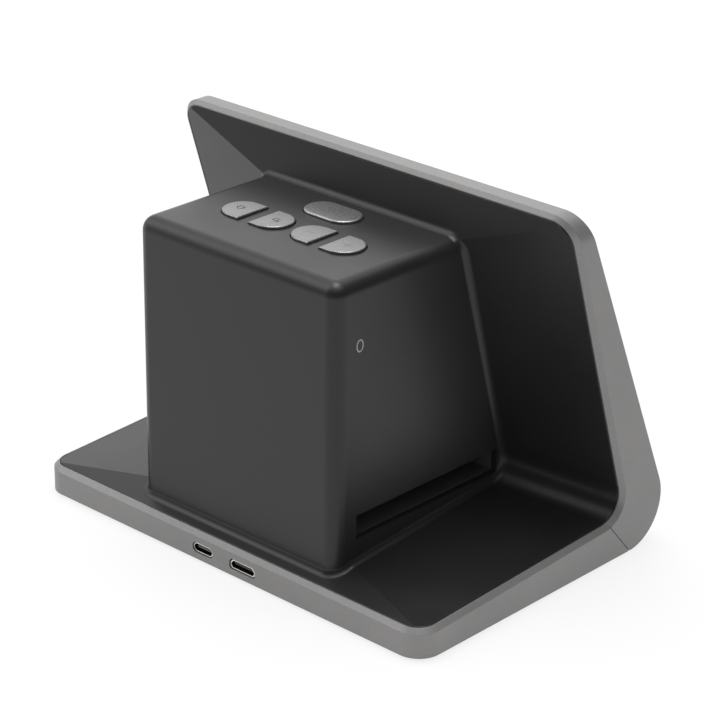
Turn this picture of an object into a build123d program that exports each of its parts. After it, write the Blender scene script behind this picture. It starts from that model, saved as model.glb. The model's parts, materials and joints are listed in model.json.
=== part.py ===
from build123d import *
import os
from math import atan2, copysign, cos, hypot, radians, sin, tan

os.makedirs("parts", exist_ok=True)

# ---------------------------------------------------------------------------
# Driving sizes, in millimetres and degrees.
# "Forward" is measured from the rear face of the base, "height" from the
# underside of the silver frame, "across" from the middle plane.
# ---------------------------------------------------------------------------
width = 178.0
depth = 122.0
frame_height = 129.1
foot_height = 1.0

# Silver frame: screen bezel and base shell
screen_lean = 23.2
rim_lean = 17.5
deck_tilt = 2.45
lower_radius = 16.1
top_thickness = 7.4
seam_height = 9.95
inner_radius = 8.7
rear_corner_radius = 8.5
top_corner_radius = 9.5
parting_set = 12.1
lip_chamfer = 1.6
side_wall = 2.0
shell_wall = 2.4
shelf_width = 1.2
groove_width = 0.3
groove_depth = 0.4

# Black rear cover: slopes of the deck, slopes behind the screen, tower
cover_wall = 2.0
seam_gap = 0.15
ridge_half = 38.0
deck_ridge_rear = 17.0
deck_ridge_height = 13.9
deck_ridge_tilt = 5.06
back_ridge_top = 109.5
back_ridge_set = 9.0
back_ridge_lean = 15.9
crease_radius = 8.5
tower_half = 45.5
tower_rear = 6.8
tower_top = 112.4
tower_wall = 2.2
tower_edge_radius = 5.2

# Film passage through the tower
slot_rear = 16.8
slot_setback = 17.4
slot_low = 21.8
slot_height = 8.6
gate_clearance = 0.2
gate_floor = 3.0
gate_roof = 2.5
gate_front_rail = 4.0
gate_screw_inset = 4.0
window_length = 38.0
window_width = 26.0
spring_across = 24.0
spring_half = 13.0
spring_thickness = 0.4
spring_bulge = 0.3
spring_pocket = 1.2
spring_breadth = 4.0
spring_end_gap = 0.5

# Buttons on the tower
cap_rise = 0.9
cap_edge = 0.6
cap_clearance = 0.3
button_travel = 0.6
pair_centre = 15.9
row_spacing = 18.9
pair_length = 28.4
pair_width = 14.4
pair_gap = 5.0
scan_setback = 11.8
scan_length = 22.2
scan_width = 12.9
flange_rim = 1.2
flange_thickness = 1.1
flange_gap = 0.15
stem_diameter = 3.0
stem_reach = 1.8
guide_thickness = 1.5
guide_gap = 0.1
switch_size = 6.0
switch_body = 3.5
plunger_diameter = 3.4
plunger_height = 0.8
plunger_gap = 0.1
board_thickness = 1.6
button_plate_length = 84.0
button_plate_width = 44.0
button_plate_gap = 8.4
button_screw_inset = 3.5
button_screw_front = 8.0
button_post_diameter = 4.6
boss_skin = 0.8

# Screen
glass_border = 7.0
glass_top_margin = 6.5
glass_corner = 3.0
glass_thickness = 1.5
glass_sink = 0.1
glass_margin = 8.5
glass_clearance = 0.15
glass_ledge = 3.0
panel_border = 2.0
panel_thickness = 3.5
bracket_thickness = 0.8
bracket_side_gap = 5.0
bracket_end_gap = 7.5
bracket_border = 12.0
bracket_boss_spread = 29.0
bracket_boss_diameter = 4.4
bracket_ear = 7.0

# Sockets and main board
socket_height = 4.3
usb_across = 8.9
usb_width = 8.94
usb_height = 3.2
usb_depth = 7.3
hdmi_across = -9.8
hdmi_width = 11.2
hdmi_height = 3.2
hdmi_depth = 7.5
socket_shell = 0.3
socket_back = 1.5
socket_gap = 0.35
recess_depth = 0.4
usb_tongue_width = 6.7
usb_tongue_height = 0.7
usb_tongue_setback = 0.8
hdmi_tongue_width = 8.4
hdmi_tongue_height = 0.8
hdmi_tongue_setback = 0.6
hdmi_tongue_rise = 0.3
hdmi_top_corner = 1.1
hdmi_low_corner = 0.7
board_rear = 3.4
strip_left = -44.0
strip_right = 72.0
strip_front = 21.0
wing_left = 50.0
wing_gap = 0.4
wing_rear = 18.0
wing_set = 23.8
card_forward = 42.0
card_width = 26.0
card_depth = 27.0
card_height = 2.8
card_slot_width = 25.0
card_slot_height = 2.6
card_side_wall = 0.7
card_skin = 0.4
board_boss_edge = 4.0
board_boss_middle = 38.0
chip_height = 1.0
processor_size = 14.0
memory_length = 12.0
memory_width = 8.0
charger_length = 8.0
charger_width = 6.0
chip_gap = 9.0

# Camera and light
camera_length = 46.0
camera_width = 40.0
camera_wall = 1.6
camera_height = 78.0
camera_plate = 2.0
camera_flange = 5.0
camera_screw_inset = 6.0
barrel_diameter = 12.0
barrel_low = 70.0
barrel_high = 90.0
barrel_bore = 7.0
barrel_flange = 18.0
barrel_flange_height = 2.0
lens_diameter = 9.0
lens_seat = 2.5
lens_edge = 1.6
lens_crown = 0.7
sensor_board_low = 92.0
sensor_board_thickness = 1.2
sensor_board_left = -16.0
sensor_board_right = 42.0
sensor_board_width = 30.0
sensor_length = 11.0
sensor_width = 9.0
sensor_thickness = 1.0
sensor_window_length = 6.6
sensor_window_width = 5.4
sensor_window_depth = 0.2
sensor_post_across = 12.0
sensor_post_along = 11.5
light_box_length = 60.0
light_box_width = 48.0
light_box_wall = 1.6
diffuser_length = 52.0
diffuser_width = 40.0
diffuser_thickness = 2.0
light_board_thickness = 1.2
led_size = 3.0
led_height = 0.8
light_notch = 14.0
light_notch_height = 3.0

# Fasteners, feet and small parts
base_boss_side = 11.0
base_boss_rear = 10.5
base_boss_front = 13.8
base_boss_diameter = 6.4
base_boss_split = 4.4
base_screw_diameter = 2.6
base_head_diameter = 5.0
base_head_height = 1.6
small_screw_diameter = 2.0
small_head_diameter = 3.6
small_head_height = 1.2
cross_reach = 0.6
cross_breadth = 0.15
screw_clearance = 0.3
thread_clearance = 0.05
foot_diameter = 10.0
foot_recess = 0.8
foot_rear_side = 21.0
foot_rear = 19.0
foot_front_side = 23.0
foot_front_set = 3.8
tab_across = 60.0
tab_gap = 1.7
tab_size = 8.0
tab_height = 5.0
mark_diameter = 4.4
mark_stroke = 0.65
mark_forward = 17.6
mark_height = 89.9
mark_depth = 0.5
cut_past = 1.0

# Flat cables
ribbon_thickness = 0.3
ribbon_bend = 2.0
ribbon_breadth = 6.0
ribbon_plug = 5.0
ribbon_gap = 0.5
ribbon_drop_set = 12.8
ribbon_turn_height = 60.0
ribbon_landing_set = 11.0
ribbon_landing_rise = 6.0
sensor_ribbon_run = 16.0
button_ribbon_run = 13.5
screen_ribbon_gap = 2.8
screen_ribbon_breadth = 12.0
screen_ribbon_start = 14.0
screen_ribbon_tail = 16.0
screen_ribbon_set = 3.9
light_ribbon_bend = 1.0
light_ribbon_step = 1.6

rim = radians(rim_lean)
lean = radians(screen_lean)
tilt = radians(deck_tilt)

# ---------------------------------------------------------------------------
# Planes. Each one is drawn on in forward, height and across sizes.
# ---------------------------------------------------------------------------
rear_y = depth / 2
side = Plane(origin=(0, rear_y, foot_height), x_dir=(0, -1, 0), z_dir=(-1, 0, 0))
rear = Plane(origin=(0, rear_y, foot_height), x_dir=(1, 0, 0), z_dir=(0, -1, 0))


def plan(height, slope=0.0):
    """Level or sloping plane facing down: across and forward, from the rear face."""
    return Plane(
        origin=(0, rear_y, foot_height + height),
        x_dir=(1, 0, 0),
        z_dir=(0, -sin(slope), -cos(slope)),
    )


def leaning(forward, height, angle):
    """Plane that leans back by an angle and faces forward: across and up its slope."""
    return Plane(
        origin=(0, rear_y - forward, foot_height + height),
        x_dir=(1, 0, 0),
        z_dir=(0, -cos(angle), sin(angle)),
    )


# ---------------------------------------------------------------------------
# Side view of the silver frame, as (forward, height) points
# ---------------------------------------------------------------------------
bend_forward = depth - lower_radius
face_foot = (bend_forward + lower_radius * cos(lean), lower_radius * (1 + sin(lean)))
face_top = (face_foot[0] - (frame_height - face_foot[1]) * tan(lean), frame_height)
rim_top = face_top[0] - top_thickness


def deck_height(forward, drop=0.0):
    """Height of the seam along the base, lowered by a drop square to it."""
    return seam_height + forward * tan(tilt) - drop / cos(tilt)


def rim_forward(height, drop=0.0):
    """Forward place of the seam along the screen frame, pushed forward by a drop."""
    return rim_top + (frame_height - height) * tan(rim) + drop / cos(rim)


def seam_corner(drop=0.0):
    """Point where the two seam lines meet in the side view."""
    reach = rim_forward(seam_height - drop / cos(tilt), drop)
    forward = reach / (1 + tan(tilt) * tan(rim))
    return (forward, deck_height(forward, drop))


# Places that follow from the frame's side view
parting_forward = bend_forward - parting_set
slot_front = seam_corner()[0] - slot_setback
slot_length = slot_front - slot_rear
slot_middle = (slot_rear + slot_front) / 2
slot_high = slot_low + slot_height
back_ridge_forward = rim_forward(back_ridge_top) - back_ridge_set
scan_forward = back_ridge_forward - scan_setback
pair_forward = scan_forward - row_spacing


def shaped(profile, inset):
    """Block with a side outline, rounded in plan and at the top corners."""
    half = width / 2 - inset
    with BuildPart() as block:
        with BuildSketch(side):
            add(profile)
        extrude(amount=width, both=True)
        with BuildSketch(plan(0)):
            with Locations((0, inset + depth)):
                RectangleRounded(2 * half, 2 * depth, rear_corner_radius - inset)
        extrude(amount=2 * frame_height, both=True, mode=Mode.INTERSECT)
        with BuildSketch(rear):
            with Locations((0, -inset)):
                RectangleRounded(2 * half, 2 * frame_height, top_corner_radius - inset)
        extrude(amount=2 * depth, both=True, mode=Mode.INTERSECT)
    return block.part


def frame_profile():
    """L-shaped side outline of the frame."""
    with BuildSketch() as outline:
        with BuildLine():
            Line((0, 0), (bend_forward, 0))
            CenterArc((bend_forward, lower_radius), lower_radius, -90, 90 + screen_lean)
            Polyline(
                face_foot,
                face_top,
                (rim_top, frame_height),
                seam_corner(),
                (0, seam_height),
                (0, 0),
            )
        make_face()
        corner = outline.vertices().sort_by_distance(seam_corner())[0]
        fillet(corner, inner_radius)
    return outline.sketch


def pocket_profile(inset, drop):
    """Side outline of the room behind and above the seam, sunk by a drop."""
    top = frame_height - inset
    with BuildSketch() as outline:
        with BuildLine():
            Polyline(
                (inset, deck_height(inset, drop)),
                seam_corner(drop),
                (rim_forward(top, drop), top),
                (inset, top),
                close=True,
            )
        make_face()
        corner = outline.vertices().sort_by_distance(seam_corner(drop))[0]
        fillet(corner, inner_radius + drop)
    return outline.sketch


def cavity_profile(inset):
    """Side outline of the frame's inside, open at the seam."""
    top = frame_height - inset
    inner = lower_radius - shell_wall
    start = (bend_forward + inner * cos(lean), lower_radius + inner * sin(lean))
    with BuildSketch() as outline:
        with BuildLine():
            Line((inset, shell_wall), (bend_forward, shell_wall))
            CenterArc((bend_forward, lower_radius), inner, -90, 90 + screen_lean)
            Polyline(
                start,
                (start[0] - (top - start[1]) * tan(lean), top),
                (inset, top),
                (inset, shell_wall),
            )
        make_face()
    return outline.sketch


# ---------------------------------------------------------------------------
# Silver frame, as one hollow L before it is parted
# ---------------------------------------------------------------------------
def faces_toward(block, direction):
    """Largest face whose outward side looks along a direction."""
    alike = block.faces().filter_by(lambda face: face.normal_at().dot(direction) > 0.9999)
    return alike.sort_by(SortBy.AREA)[-1]


def points(*places):
    """Across and forward places, mirrored to both sides."""
    return [(sign * across, forward) for across, forward in places for sign in (-1, 1)]


outer_block = shaped(frame_profile(), 0)
recess_block = shaped(pocket_profile(side_wall, cover_wall), side_wall)
cavity_inset = side_wall + shelf_width
cavity_block = shaped(cavity_profile(cavity_inset), cavity_inset)

with BuildPart() as frame_shell:
    add(outer_block)
    deck_face = faces_toward(frame_shell, Vector(0, sin(tilt), cos(tilt)))
    rim_face = faces_toward(frame_shell, Vector(0, cos(rim), -sin(rim)))
    corner_place = Vector(0, rear_y - seam_corner()[0], foot_height + seam_corner()[1])
    bend_face = frame_shell.faces().filter_by(GeomType.CYLINDER).sort_by_distance(corner_place)[0]
    seam_edges = deck_face.edges() + rim_face.edges() + bend_face.edges()
    hidden_edges = bend_face.edges().filter_by(Axis.X)
    lip_edges = [edge for edge in seam_edges if all(not edge.is_same(other) for other in hidden_edges)]
    chamfer(lip_edges, lip_chamfer)
    add(recess_block, mode=Mode.SUBTRACT)
    add(cavity_block, mode=Mode.SUBTRACT)

# The frame is parted on a slant through its lower front corner.
parting_rise = deck_height(parting_forward)
parting_lean = atan2(bend_forward - parting_forward, parting_rise)
parting = leaning(bend_forward, 0, parting_lean)
parting_length = hypot(bend_forward - parting_forward, parting_rise)

with BuildPart() as groove:
    with BuildSketch(parting):
        with GridLocations(width, 0, 2, 1):
            Rectangle(2 * groove_depth, 2 * parting_length + width)
        Rectangle(width, 2 * groove_depth)
    extrude(amount=groove_width / 2, both=True)

# ---------------------------------------------------------------------------
# Front bezel
# ---------------------------------------------------------------------------
face = leaning(face_foot[0], face_foot[1], lean)
face_length = (frame_height - face_foot[1]) / cos(lean)
glass_width = width - 2 * glass_border
glass_height = face_length - glass_margin - glass_top_margin
glass_middle = glass_margin + glass_height / 2
panel_width = glass_width - 2 * panel_border
panel_height = glass_height - 2 * panel_border
glass_recess = glass_thickness + glass_sink
panel_back = shell_wall + panel_thickness


def behind_face(depth_behind):
    """Plane behind the screen's front face, at a depth square to it."""
    return face.offset(-depth_behind)


bracket_boss_across = (panel_width / 2 + width / 2 - cavity_inset) / 2
bracket_bosses = points(
    (bracket_boss_across, glass_middle - bracket_boss_spread),
    (bracket_boss_across, glass_middle + bracket_boss_spread),
)
tab_rear = parting_forward + tab_gap
tab_screws = points((tab_across, tab_rear + tab_size / 2))
base_screw_tip = shell_wall + tab_height - screw_clearance

with BuildPart() as front_bezel:
    add(frame_shell.part)
    split(bisect_by=parting, keep=Keep.TOP)
    with BuildSketch(face):
        with Locations((0, glass_middle)):
            RectangleRounded(
                glass_width + 2 * glass_clearance,
                glass_height + 2 * glass_clearance,
                glass_corner + glass_clearance,
            )
    extrude(amount=-glass_recess, mode=Mode.SUBTRACT)
    with BuildSketch(face):
        with Locations((0, glass_middle)):
            Rectangle(glass_width - 2 * glass_ledge, glass_height - 2 * glass_ledge)
    extrude(amount=-2 * shell_wall, mode=Mode.SUBTRACT)
    with BuildSketch(behind_face(shell_wall)):
        with Locations(*bracket_bosses):
            Circle(bracket_boss_diameter / 2)
    extrude(amount=-panel_thickness)
    with BuildSketch(behind_face(panel_back)):
        with Locations(*bracket_bosses):
            Circle(small_screw_diameter / 2 + thread_clearance)
    extrude(amount=panel_thickness, mode=Mode.SUBTRACT)
    with BuildSketch(plan(shell_wall)):
        for across, forward in tab_screws:
            with Locations((across, (tab_rear + bend_forward) / 2)):
                Rectangle(tab_size, bend_forward - tab_rear)
    extrude(amount=-tab_height)
    with BuildSketch(plan(shell_wall)):
        with Locations(*tab_screws):
            Circle(base_screw_diameter / 2 + thread_clearance)
    extrude(amount=shell_wall - base_screw_tip, mode=Mode.SUBTRACT)
    add(groove.part, mode=Mode.SUBTRACT)

front_bezel.part.label = "front_bezel"
export_step(front_bezel.part, "parts/front_bezel.step")

# ---------------------------------------------------------------------------
# Base shell
# ---------------------------------------------------------------------------
base_bosses = points(
    (width / 2 - base_boss_side, base_boss_rear),
    (width / 2 - base_boss_side, parting_forward - base_boss_front),
)
wing_right = width / 2 - cavity_inset - wing_gap
wing_front = parting_forward - wing_set
board_bosses = [
    (strip_left + board_boss_edge, board_rear + board_boss_edge),
    (board_boss_middle, board_rear + board_boss_edge),
    (wing_left + board_boss_edge, wing_front - board_boss_edge),
    (wing_right - board_boss_edge, wing_front - board_boss_edge),
]
foot_places = points(
    (width / 2 - foot_rear_side, foot_rear),
    (width / 2 - foot_front_side, parting_forward - foot_front_set),
)
board_low = socket_height + usb_height / 2


def hdmi_outline(shrink):
    """Outline of the wide socket: an oblong with slanted corners, larger at the top."""
    half = hdmi_width / 2 - shrink
    tall = hdmi_height / 2 - shrink
    with BuildSketch() as outline:
        with BuildLine():
            Polyline(
                (-half, tall - hdmi_top_corner),
                (-half + hdmi_top_corner, tall),
                (half - hdmi_top_corner, tall),
                (half, tall - hdmi_top_corner),
                (half, -tall + hdmi_low_corner),
                (half - hdmi_low_corner, -tall),
                (-half + hdmi_low_corner, -tall),
                (-half, -tall + hdmi_low_corner),
                close=True,
            )
        make_face()
    return outline.sketch


with BuildPart() as base_shell:
    add(frame_shell.part)
    split(bisect_by=parting, keep=Keep.BOTTOM)
    with BuildSketch(plan(base_boss_split)):
        with Locations(*base_bosses):
            Circle(base_boss_diameter / 2)
    extrude(amount=base_boss_split - shell_wall)
    with BuildSketch(plan(board_low)):
        with Locations(*board_bosses):
            Circle(small_head_diameter / 2)
    extrude(amount=board_low - shell_wall)
    with BuildSketch(plan(board_low)):
        with Locations(*board_bosses):
            Circle(small_screw_diameter / 2 + thread_clearance)
    extrude(amount=board_low - shell_wall, mode=Mode.SUBTRACT)
    with BuildSketch(plan(base_boss_split)):
        with Locations(*base_bosses, *tab_screws):
            Circle(base_screw_diameter / 2 + screw_clearance)
    extrude(amount=2 * base_boss_split, mode=Mode.SUBTRACT)
    with BuildSketch(plan(0)):
        with Locations(*base_bosses, *tab_screws):
            Circle(base_head_diameter / 2 + screw_clearance)
    extrude(amount=-base_head_height, mode=Mode.SUBTRACT)
    with BuildSketch(plan(0)):
        with Locations(*foot_places):
            Circle(foot_diameter / 2)
    extrude(amount=-foot_recess, mode=Mode.SUBTRACT)
    with BuildSketch(rear):
        with Locations((usb_across, socket_height)):
            SlotOverall(usb_width + 2 * socket_gap, usb_height + 2 * socket_gap)
        with Locations((hdmi_across, socket_height)):
            add(hdmi_outline(-socket_gap))
    extrude(amount=cavity_inset, mode=Mode.SUBTRACT)
    card_plane = Plane(
        origin=(width / 2, rear_y, foot_height), x_dir=(0, -1, 0), z_dir=(-1, 0, 0)
    )
    with BuildSketch(card_plane):
        with Locations((card_forward, board_low - card_height / 2)):
            Rectangle(card_slot_width, card_slot_height)
    extrude(amount=cavity_inset + cut_past, mode=Mode.SUBTRACT)
    add(groove.part, mode=Mode.SUBTRACT)

base_shell.part.label = "base_shell"
export_step(base_shell.part, "parts/base_shell.step")

# ---------------------------------------------------------------------------
# Rear cover: faceted slopes of the deck and of the screen's back, and the tower
# ---------------------------------------------------------------------------
cover_inset = side_wall + seam_gap
cover_half = width / 2 - cover_inset
slope_reach = bend_forward
skirt = 30.0
tower_front = seam_corner()[0] - inner_radius / 2
inner_top = tower_top - tower_wall


def strip(half, low, high):
    """Four-sided face between two distances along a plane's second axis."""
    with BuildSketch() as outline:
        with BuildLine():
            Polyline((-half, low), (half, low), (half, high), (-half, high), close=True)
        make_face()
    return outline.sketch


def deck_slopes(drop, depth_below):
    """Body under the sloping facets of the deck, lowered by a drop."""
    ridge_tilt = radians(deck_ridge_tilt)
    ridge_start = deck_ridge_height - deck_ridge_rear * tan(ridge_tilt)
    with BuildPart() as slopes:
        with BuildSketch(plan(seam_height - drop, tilt)) as low:
            add(strip(cover_half, cover_inset / cos(tilt), slope_reach / cos(tilt)))
        with BuildSketch(plan(ridge_start - drop, ridge_tilt)) as high:
            add(strip(ridge_half, deck_ridge_rear / cos(ridge_tilt), slope_reach / cos(ridge_tilt)))
        loft(sections=[low.sketch, high.sketch], ruled=True)
        extrude(low.sketch, amount=depth_below)
    return slopes.part


def back_slopes(drop, depth_ahead):
    """Body before the sloping facets behind the screen, pushed forward by a drop."""
    ridge_lean = radians(back_ridge_lean)
    ridge_start = back_ridge_forward + back_ridge_top * tan(ridge_lean)
    top = frame_height - cover_inset
    with BuildPart() as slopes:
        with BuildSketch(leaning(rim_forward(0) + drop, 0, rim)) as ahead:
            add(strip(cover_half, shell_wall / cos(rim), top / cos(rim)))
        with BuildSketch(leaning(ridge_start + drop, 0, ridge_lean)) as behind:
            add(strip(ridge_half, shell_wall / cos(ridge_lean), back_ridge_top / cos(ridge_lean)))
        loft(sections=[ahead.sketch, behind.sketch], ruled=True)
        extrude(ahead.sketch, amount=depth_ahead)
    return slopes.part


def tower_block(inset, reach, bottom):
    """Upright box of the tower, smaller by a wall, from a bottom height."""
    with BuildPart() as block:
        with BuildSketch(plan(tower_top - inset)):
            with Locations((0, (tower_rear + inset + reach) / 2)):
                Rectangle(2 * (tower_half - inset), reach - tower_rear - inset)
        extrude(amount=tower_top - inset - bottom)
        uprights = block.edges().filter_by(Axis.Z).group_by(Axis.Y)[-1]
        fillet(uprights, tower_edge_radius - inset)
        top_face = block.faces().sort_by(Axis.Z)[-1]
        fillet(top_face.edges().sort_by(Axis.Y)[1:], tower_edge_radius - inset)
    return block.part


tower_outer = tower_block(0, tower_front, 0)
tower_inner = tower_block(tower_wall, slope_reach, -skirt)
deck_outer = deck_slopes(0, skirt)
back_outer = back_slopes(0, skirt)
deck_inner = deck_slopes(cover_wall, skirt + depth)
back_inner = back_slopes(cover_wall, skirt + depth)
cover_bounds = shaped(pocket_profile(cover_inset, cover_wall), cover_inset)


def pair_half(centre, direction, grow):
    """Half of a rounded pair of buttons, cut flat beside the pair's middle."""
    with BuildSketch() as outline:
        with Locations((centre, pair_forward)):
            SlotOverall(pair_length + 2 * grow, pair_width + 2 * grow)
        with Locations((centre + direction * (pair_length + pair_gap / 2 - grow), pair_forward)):
            Rectangle(2 * pair_length, 2 * pair_width, mode=Mode.INTERSECT)
    return outline.sketch


def scan_oval(grow):
    """Long oval of the scan button."""
    with BuildSketch() as outline:
        with Locations((0, scan_forward)):
            SlotOverall(scan_length + 2 * grow, scan_width + 2 * grow)
    return outline.sketch


button_shapes = {
    "home_button": lambda grow: pair_half(pair_centre, 1, grow),
    "back_button": lambda grow: pair_half(pair_centre, -1, grow),
    "minus_button": lambda grow: pair_half(-pair_centre, 1, grow),
    "plus_button": lambda grow: pair_half(-pair_centre, -1, grow),
    "scan_button": scan_oval,
}
half_middle = (pair_gap + pair_length) / 4
button_centres = {
    "home_button": (pair_centre + half_middle, pair_forward),
    "back_button": (pair_centre - half_middle, pair_forward),
    "minus_button": (-pair_centre + half_middle, pair_forward),
    "plus_button": (-pair_centre - half_middle, pair_forward),
    "scan_button": (0, scan_forward),
}
button_places = list(button_centres.values())
guide_top = inner_top - flange_gap - flange_thickness - button_travel - guide_gap
button_plate_middle = tower_rear + tower_wall + button_plate_gap + button_plate_width / 2
button_screw_across = button_plate_length / 2 - button_screw_inset
button_plate_half = button_plate_width / 2
button_screw_places = points(
    (button_screw_across, button_plate_middle - button_plate_half + button_screw_inset),
    (button_screw_across, button_plate_middle + button_plate_half - button_screw_front),
)


def crease_edge(block, sign):
    """Edge on one side where the deck's slope meets the slope behind the screen."""
    corner = Vector(sign * cover_half, rear_y - seam_corner()[0], foot_height + seam_corner()[1])
    span = (cover_half - tower_half) / 2
    crossing = block.edges().filter_by(lambda edge: abs((edge @ 0 - edge @ 1).X) > span)
    return crossing.sort_by_distance(corner)[0]


with BuildPart() as slopes:
    add(deck_outer)
    add(back_outer)
    add(tower_outer, mode=Mode.SUBTRACT)
    fillet([crease_edge(slopes, -1), crease_edge(slopes, 1)], crease_radius)

with BuildPart() as rear_cover:
    add(slopes.part)
    add(tower_outer)
    add(deck_inner, mode=Mode.SUBTRACT)
    add(back_inner, mode=Mode.SUBTRACT)
    add(tower_inner, mode=Mode.SUBTRACT)
    add(cover_bounds, mode=Mode.INTERSECT)
    for across, forward in base_bosses:
        with BuildSketch(plan(base_boss_split)):
            with Locations((across, forward)):
                Circle(base_boss_diameter / 2)
        extrude(amount=base_boss_split - deck_height(forward))
    with BuildSketch(plan(base_boss_split)):
        with Locations(*base_bosses):
            Circle(base_screw_diameter / 2 + thread_clearance)
    extrude(amount=base_boss_split - base_screw_tip - screw_clearance, mode=Mode.SUBTRACT)
    with BuildSketch(plan(guide_top)):
        with Locations(*button_screw_places):
            Circle(small_head_diameter / 2)
    extrude(amount=guide_top - inner_top - flange_gap)
    with BuildSketch(plan(guide_top)):
        with Locations(*button_screw_places):
            Circle(small_screw_diameter / 2 + thread_clearance)
    extrude(amount=guide_top - tower_top + boss_skin, mode=Mode.SUBTRACT)
    for outline in button_shapes.values():
        with BuildSketch(plan(tower_top + cut_past)):
            add(outline(cap_clearance))
        extrude(amount=tower_wall + 2 * cut_past, mode=Mode.SUBTRACT)
    with BuildSketch(side):
        with Locations((slot_middle, slot_low + slot_height / 2)):
            Rectangle(slot_length, slot_height)
    extrude(amount=width, both=True, mode=Mode.SUBTRACT)
    mark_plane = Plane(
        origin=(-tower_half, rear_y, foot_height), x_dir=(0, -1, 0), z_dir=(-1, 0, 0)
    )
    with BuildSketch(mark_plane):
        with Locations((mark_forward, mark_height)):
            Circle(mark_diameter / 2)
            Circle(mark_diameter / 2 - mark_stroke, mode=Mode.SUBTRACT)
    extrude(amount=-mark_depth, mode=Mode.SUBTRACT)

rear_cover.part.label = "rear_cover"
export_step(rear_cover.part, "parts/rear_cover.step")

with BuildPart() as gate_mark:
    with BuildSketch(mark_plane):
        with Locations((mark_forward, mark_height)):
            Circle(mark_diameter / 2)
            Circle(mark_diameter / 2 - mark_stroke, mode=Mode.SUBTRACT)
    extrude(amount=-mark_depth)

gate_mark.part.label = "gate_mark"
export_step(gate_mark.part, "parts/gate_mark.step")

# ---------------------------------------------------------------------------
# Buttons, their guide plate, board and switches
# ---------------------------------------------------------------------------
cap_top = tower_top + cap_rise
flange_top = inner_top - flange_gap
flange_bottom = flange_top - flange_thickness
guide_bottom = guide_top - guide_thickness
stem_bottom = guide_bottom - stem_reach
plunger_top = stem_bottom - button_travel - plunger_gap
button_board_top = plunger_top - switch_body - plunger_height
button_board_bottom = button_board_top - board_thickness

for name, outline in button_shapes.items():
    with BuildPart() as button:
        with BuildSketch(plan(cap_top)):
            add(outline(0))
        extrude(amount=cap_top - flange_top)
        fillet(button.faces().sort_by(Axis.Z)[-1].edges(), cap_edge)
        with BuildSketch(plan(flange_top)):
            add(outline(flange_rim))
        extrude(amount=flange_thickness)
        with BuildSketch(plan(flange_bottom)):
            with Locations(button_centres[name]):
                Circle(stem_diameter / 2)
        extrude(amount=flange_bottom - stem_bottom)
    button.part.label = name
    export_step(button.part, f"parts/{name}.step")

with BuildPart() as button_guide:
    with BuildSketch(plan(guide_top)):
        with Locations((0, button_plate_middle)):
            RectangleRounded(button_plate_length, button_plate_width, small_head_diameter / 2)
        with Locations(*button_places):
            Circle(stem_diameter / 2 + screw_clearance, mode=Mode.SUBTRACT)
    extrude(amount=guide_thickness)
    with BuildSketch(plan(guide_bottom)):
        with Locations(*button_screw_places):
            Circle(button_post_diameter / 2)
    extrude(amount=guide_bottom - button_board_top)
    with BuildSketch(plan(guide_top)):
        with Locations(*button_screw_places):
            Circle(small_screw_diameter / 2 + screw_clearance)
    extrude(amount=guide_top - button_board_top, mode=Mode.SUBTRACT)

button_guide.part.label = "button_guide"
export_step(button_guide.part, "parts/button_guide.step")

with BuildPart() as button_board:
    with BuildSketch(plan(button_board_top)):
        with Locations((0, button_plate_middle)):
            RectangleRounded(button_plate_length, button_plate_width, small_head_diameter / 2)
        with Locations(*button_screw_places):
            Circle(small_screw_diameter / 2 + screw_clearance, mode=Mode.SUBTRACT)
    extrude(amount=board_thickness)

button_board.part.label = "button_board"
export_step(button_board.part, "parts/button_board.step")

with BuildPart() as tact_switches:
    with BuildSketch(plan(button_board_top + switch_body)):
        with Locations(*button_places):
            Rectangle(switch_size, switch_size)
    extrude(amount=switch_body)
    with BuildSketch(plan(plunger_top)):
        with Locations(*button_places):
            Circle(plunger_diameter / 2)
    extrude(amount=plunger_height)

tact_switches.part.label = "tact_switches"
export_step(tact_switches.part, "parts/tact_switches.step")


def screws(plane, places, head_diameter, head_height, shank_diameter, shank_length):
    """Group of pan-head screws; the plane lies under the heads and faces the shanks."""
    with BuildPart() as group:
        with BuildSketch(plane):
            with Locations(*places):
                Circle(head_diameter / 2)
        extrude(amount=-head_height)
        with BuildSketch(plane.offset(-head_height)):
            with Locations(*places):
                Rectangle(head_diameter * cross_reach, head_diameter * cross_breadth)
                Rectangle(head_diameter * cross_breadth, head_diameter * cross_reach)
        extrude(amount=head_height / 2, mode=Mode.SUBTRACT)
        with BuildSketch(plane):
            with Locations(*places):
                Circle(shank_diameter / 2)
        extrude(amount=shank_length)
    return group


def upward(height):
    """Level plane that faces up: across, and backward from the rear face."""
    return Plane(origin=(0, rear_y, foot_height + height), x_dir=(1, 0, 0), z_dir=(0, 0, 1))


def turned(places):
    """Places written for a plane that faces down, for use on one that faces up."""
    return [(across, -forward) for across, forward in places]


button_screws = screws(
    upward(button_board_bottom),
    turned(button_screw_places),
    small_head_diameter,
    small_head_height,
    small_screw_diameter,
    tower_top - boss_skin - screw_clearance - button_board_bottom,
)
button_screws.part.label = "button_screws"
export_step(button_screws.part, "parts/button_screws.step")

# ---------------------------------------------------------------------------
# Screen: glass, panel, bracket and its screws
# ---------------------------------------------------------------------------
with BuildPart() as screen_glass:
    with BuildSketch(behind_face(glass_sink)):
        with Locations((0, glass_middle)):
            RectangleRounded(glass_width, glass_height, glass_corner)
    extrude(amount=-glass_thickness)
    fillet(screen_glass.faces().sort_by(Axis.Y)[0].edges(), glass_thickness / 4)

screen_glass.part.label = "screen_glass"
export_step(screen_glass.part, "parts/screen_glass.step")

with BuildPart() as lcd_panel:
    with BuildSketch(behind_face(shell_wall)):
        with Locations((0, glass_middle)):
            Rectangle(panel_width, panel_height)
    extrude(amount=-panel_thickness)

lcd_panel.part.label = "lcd_panel"
export_step(lcd_panel.part, "parts/lcd_panel.step")

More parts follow.
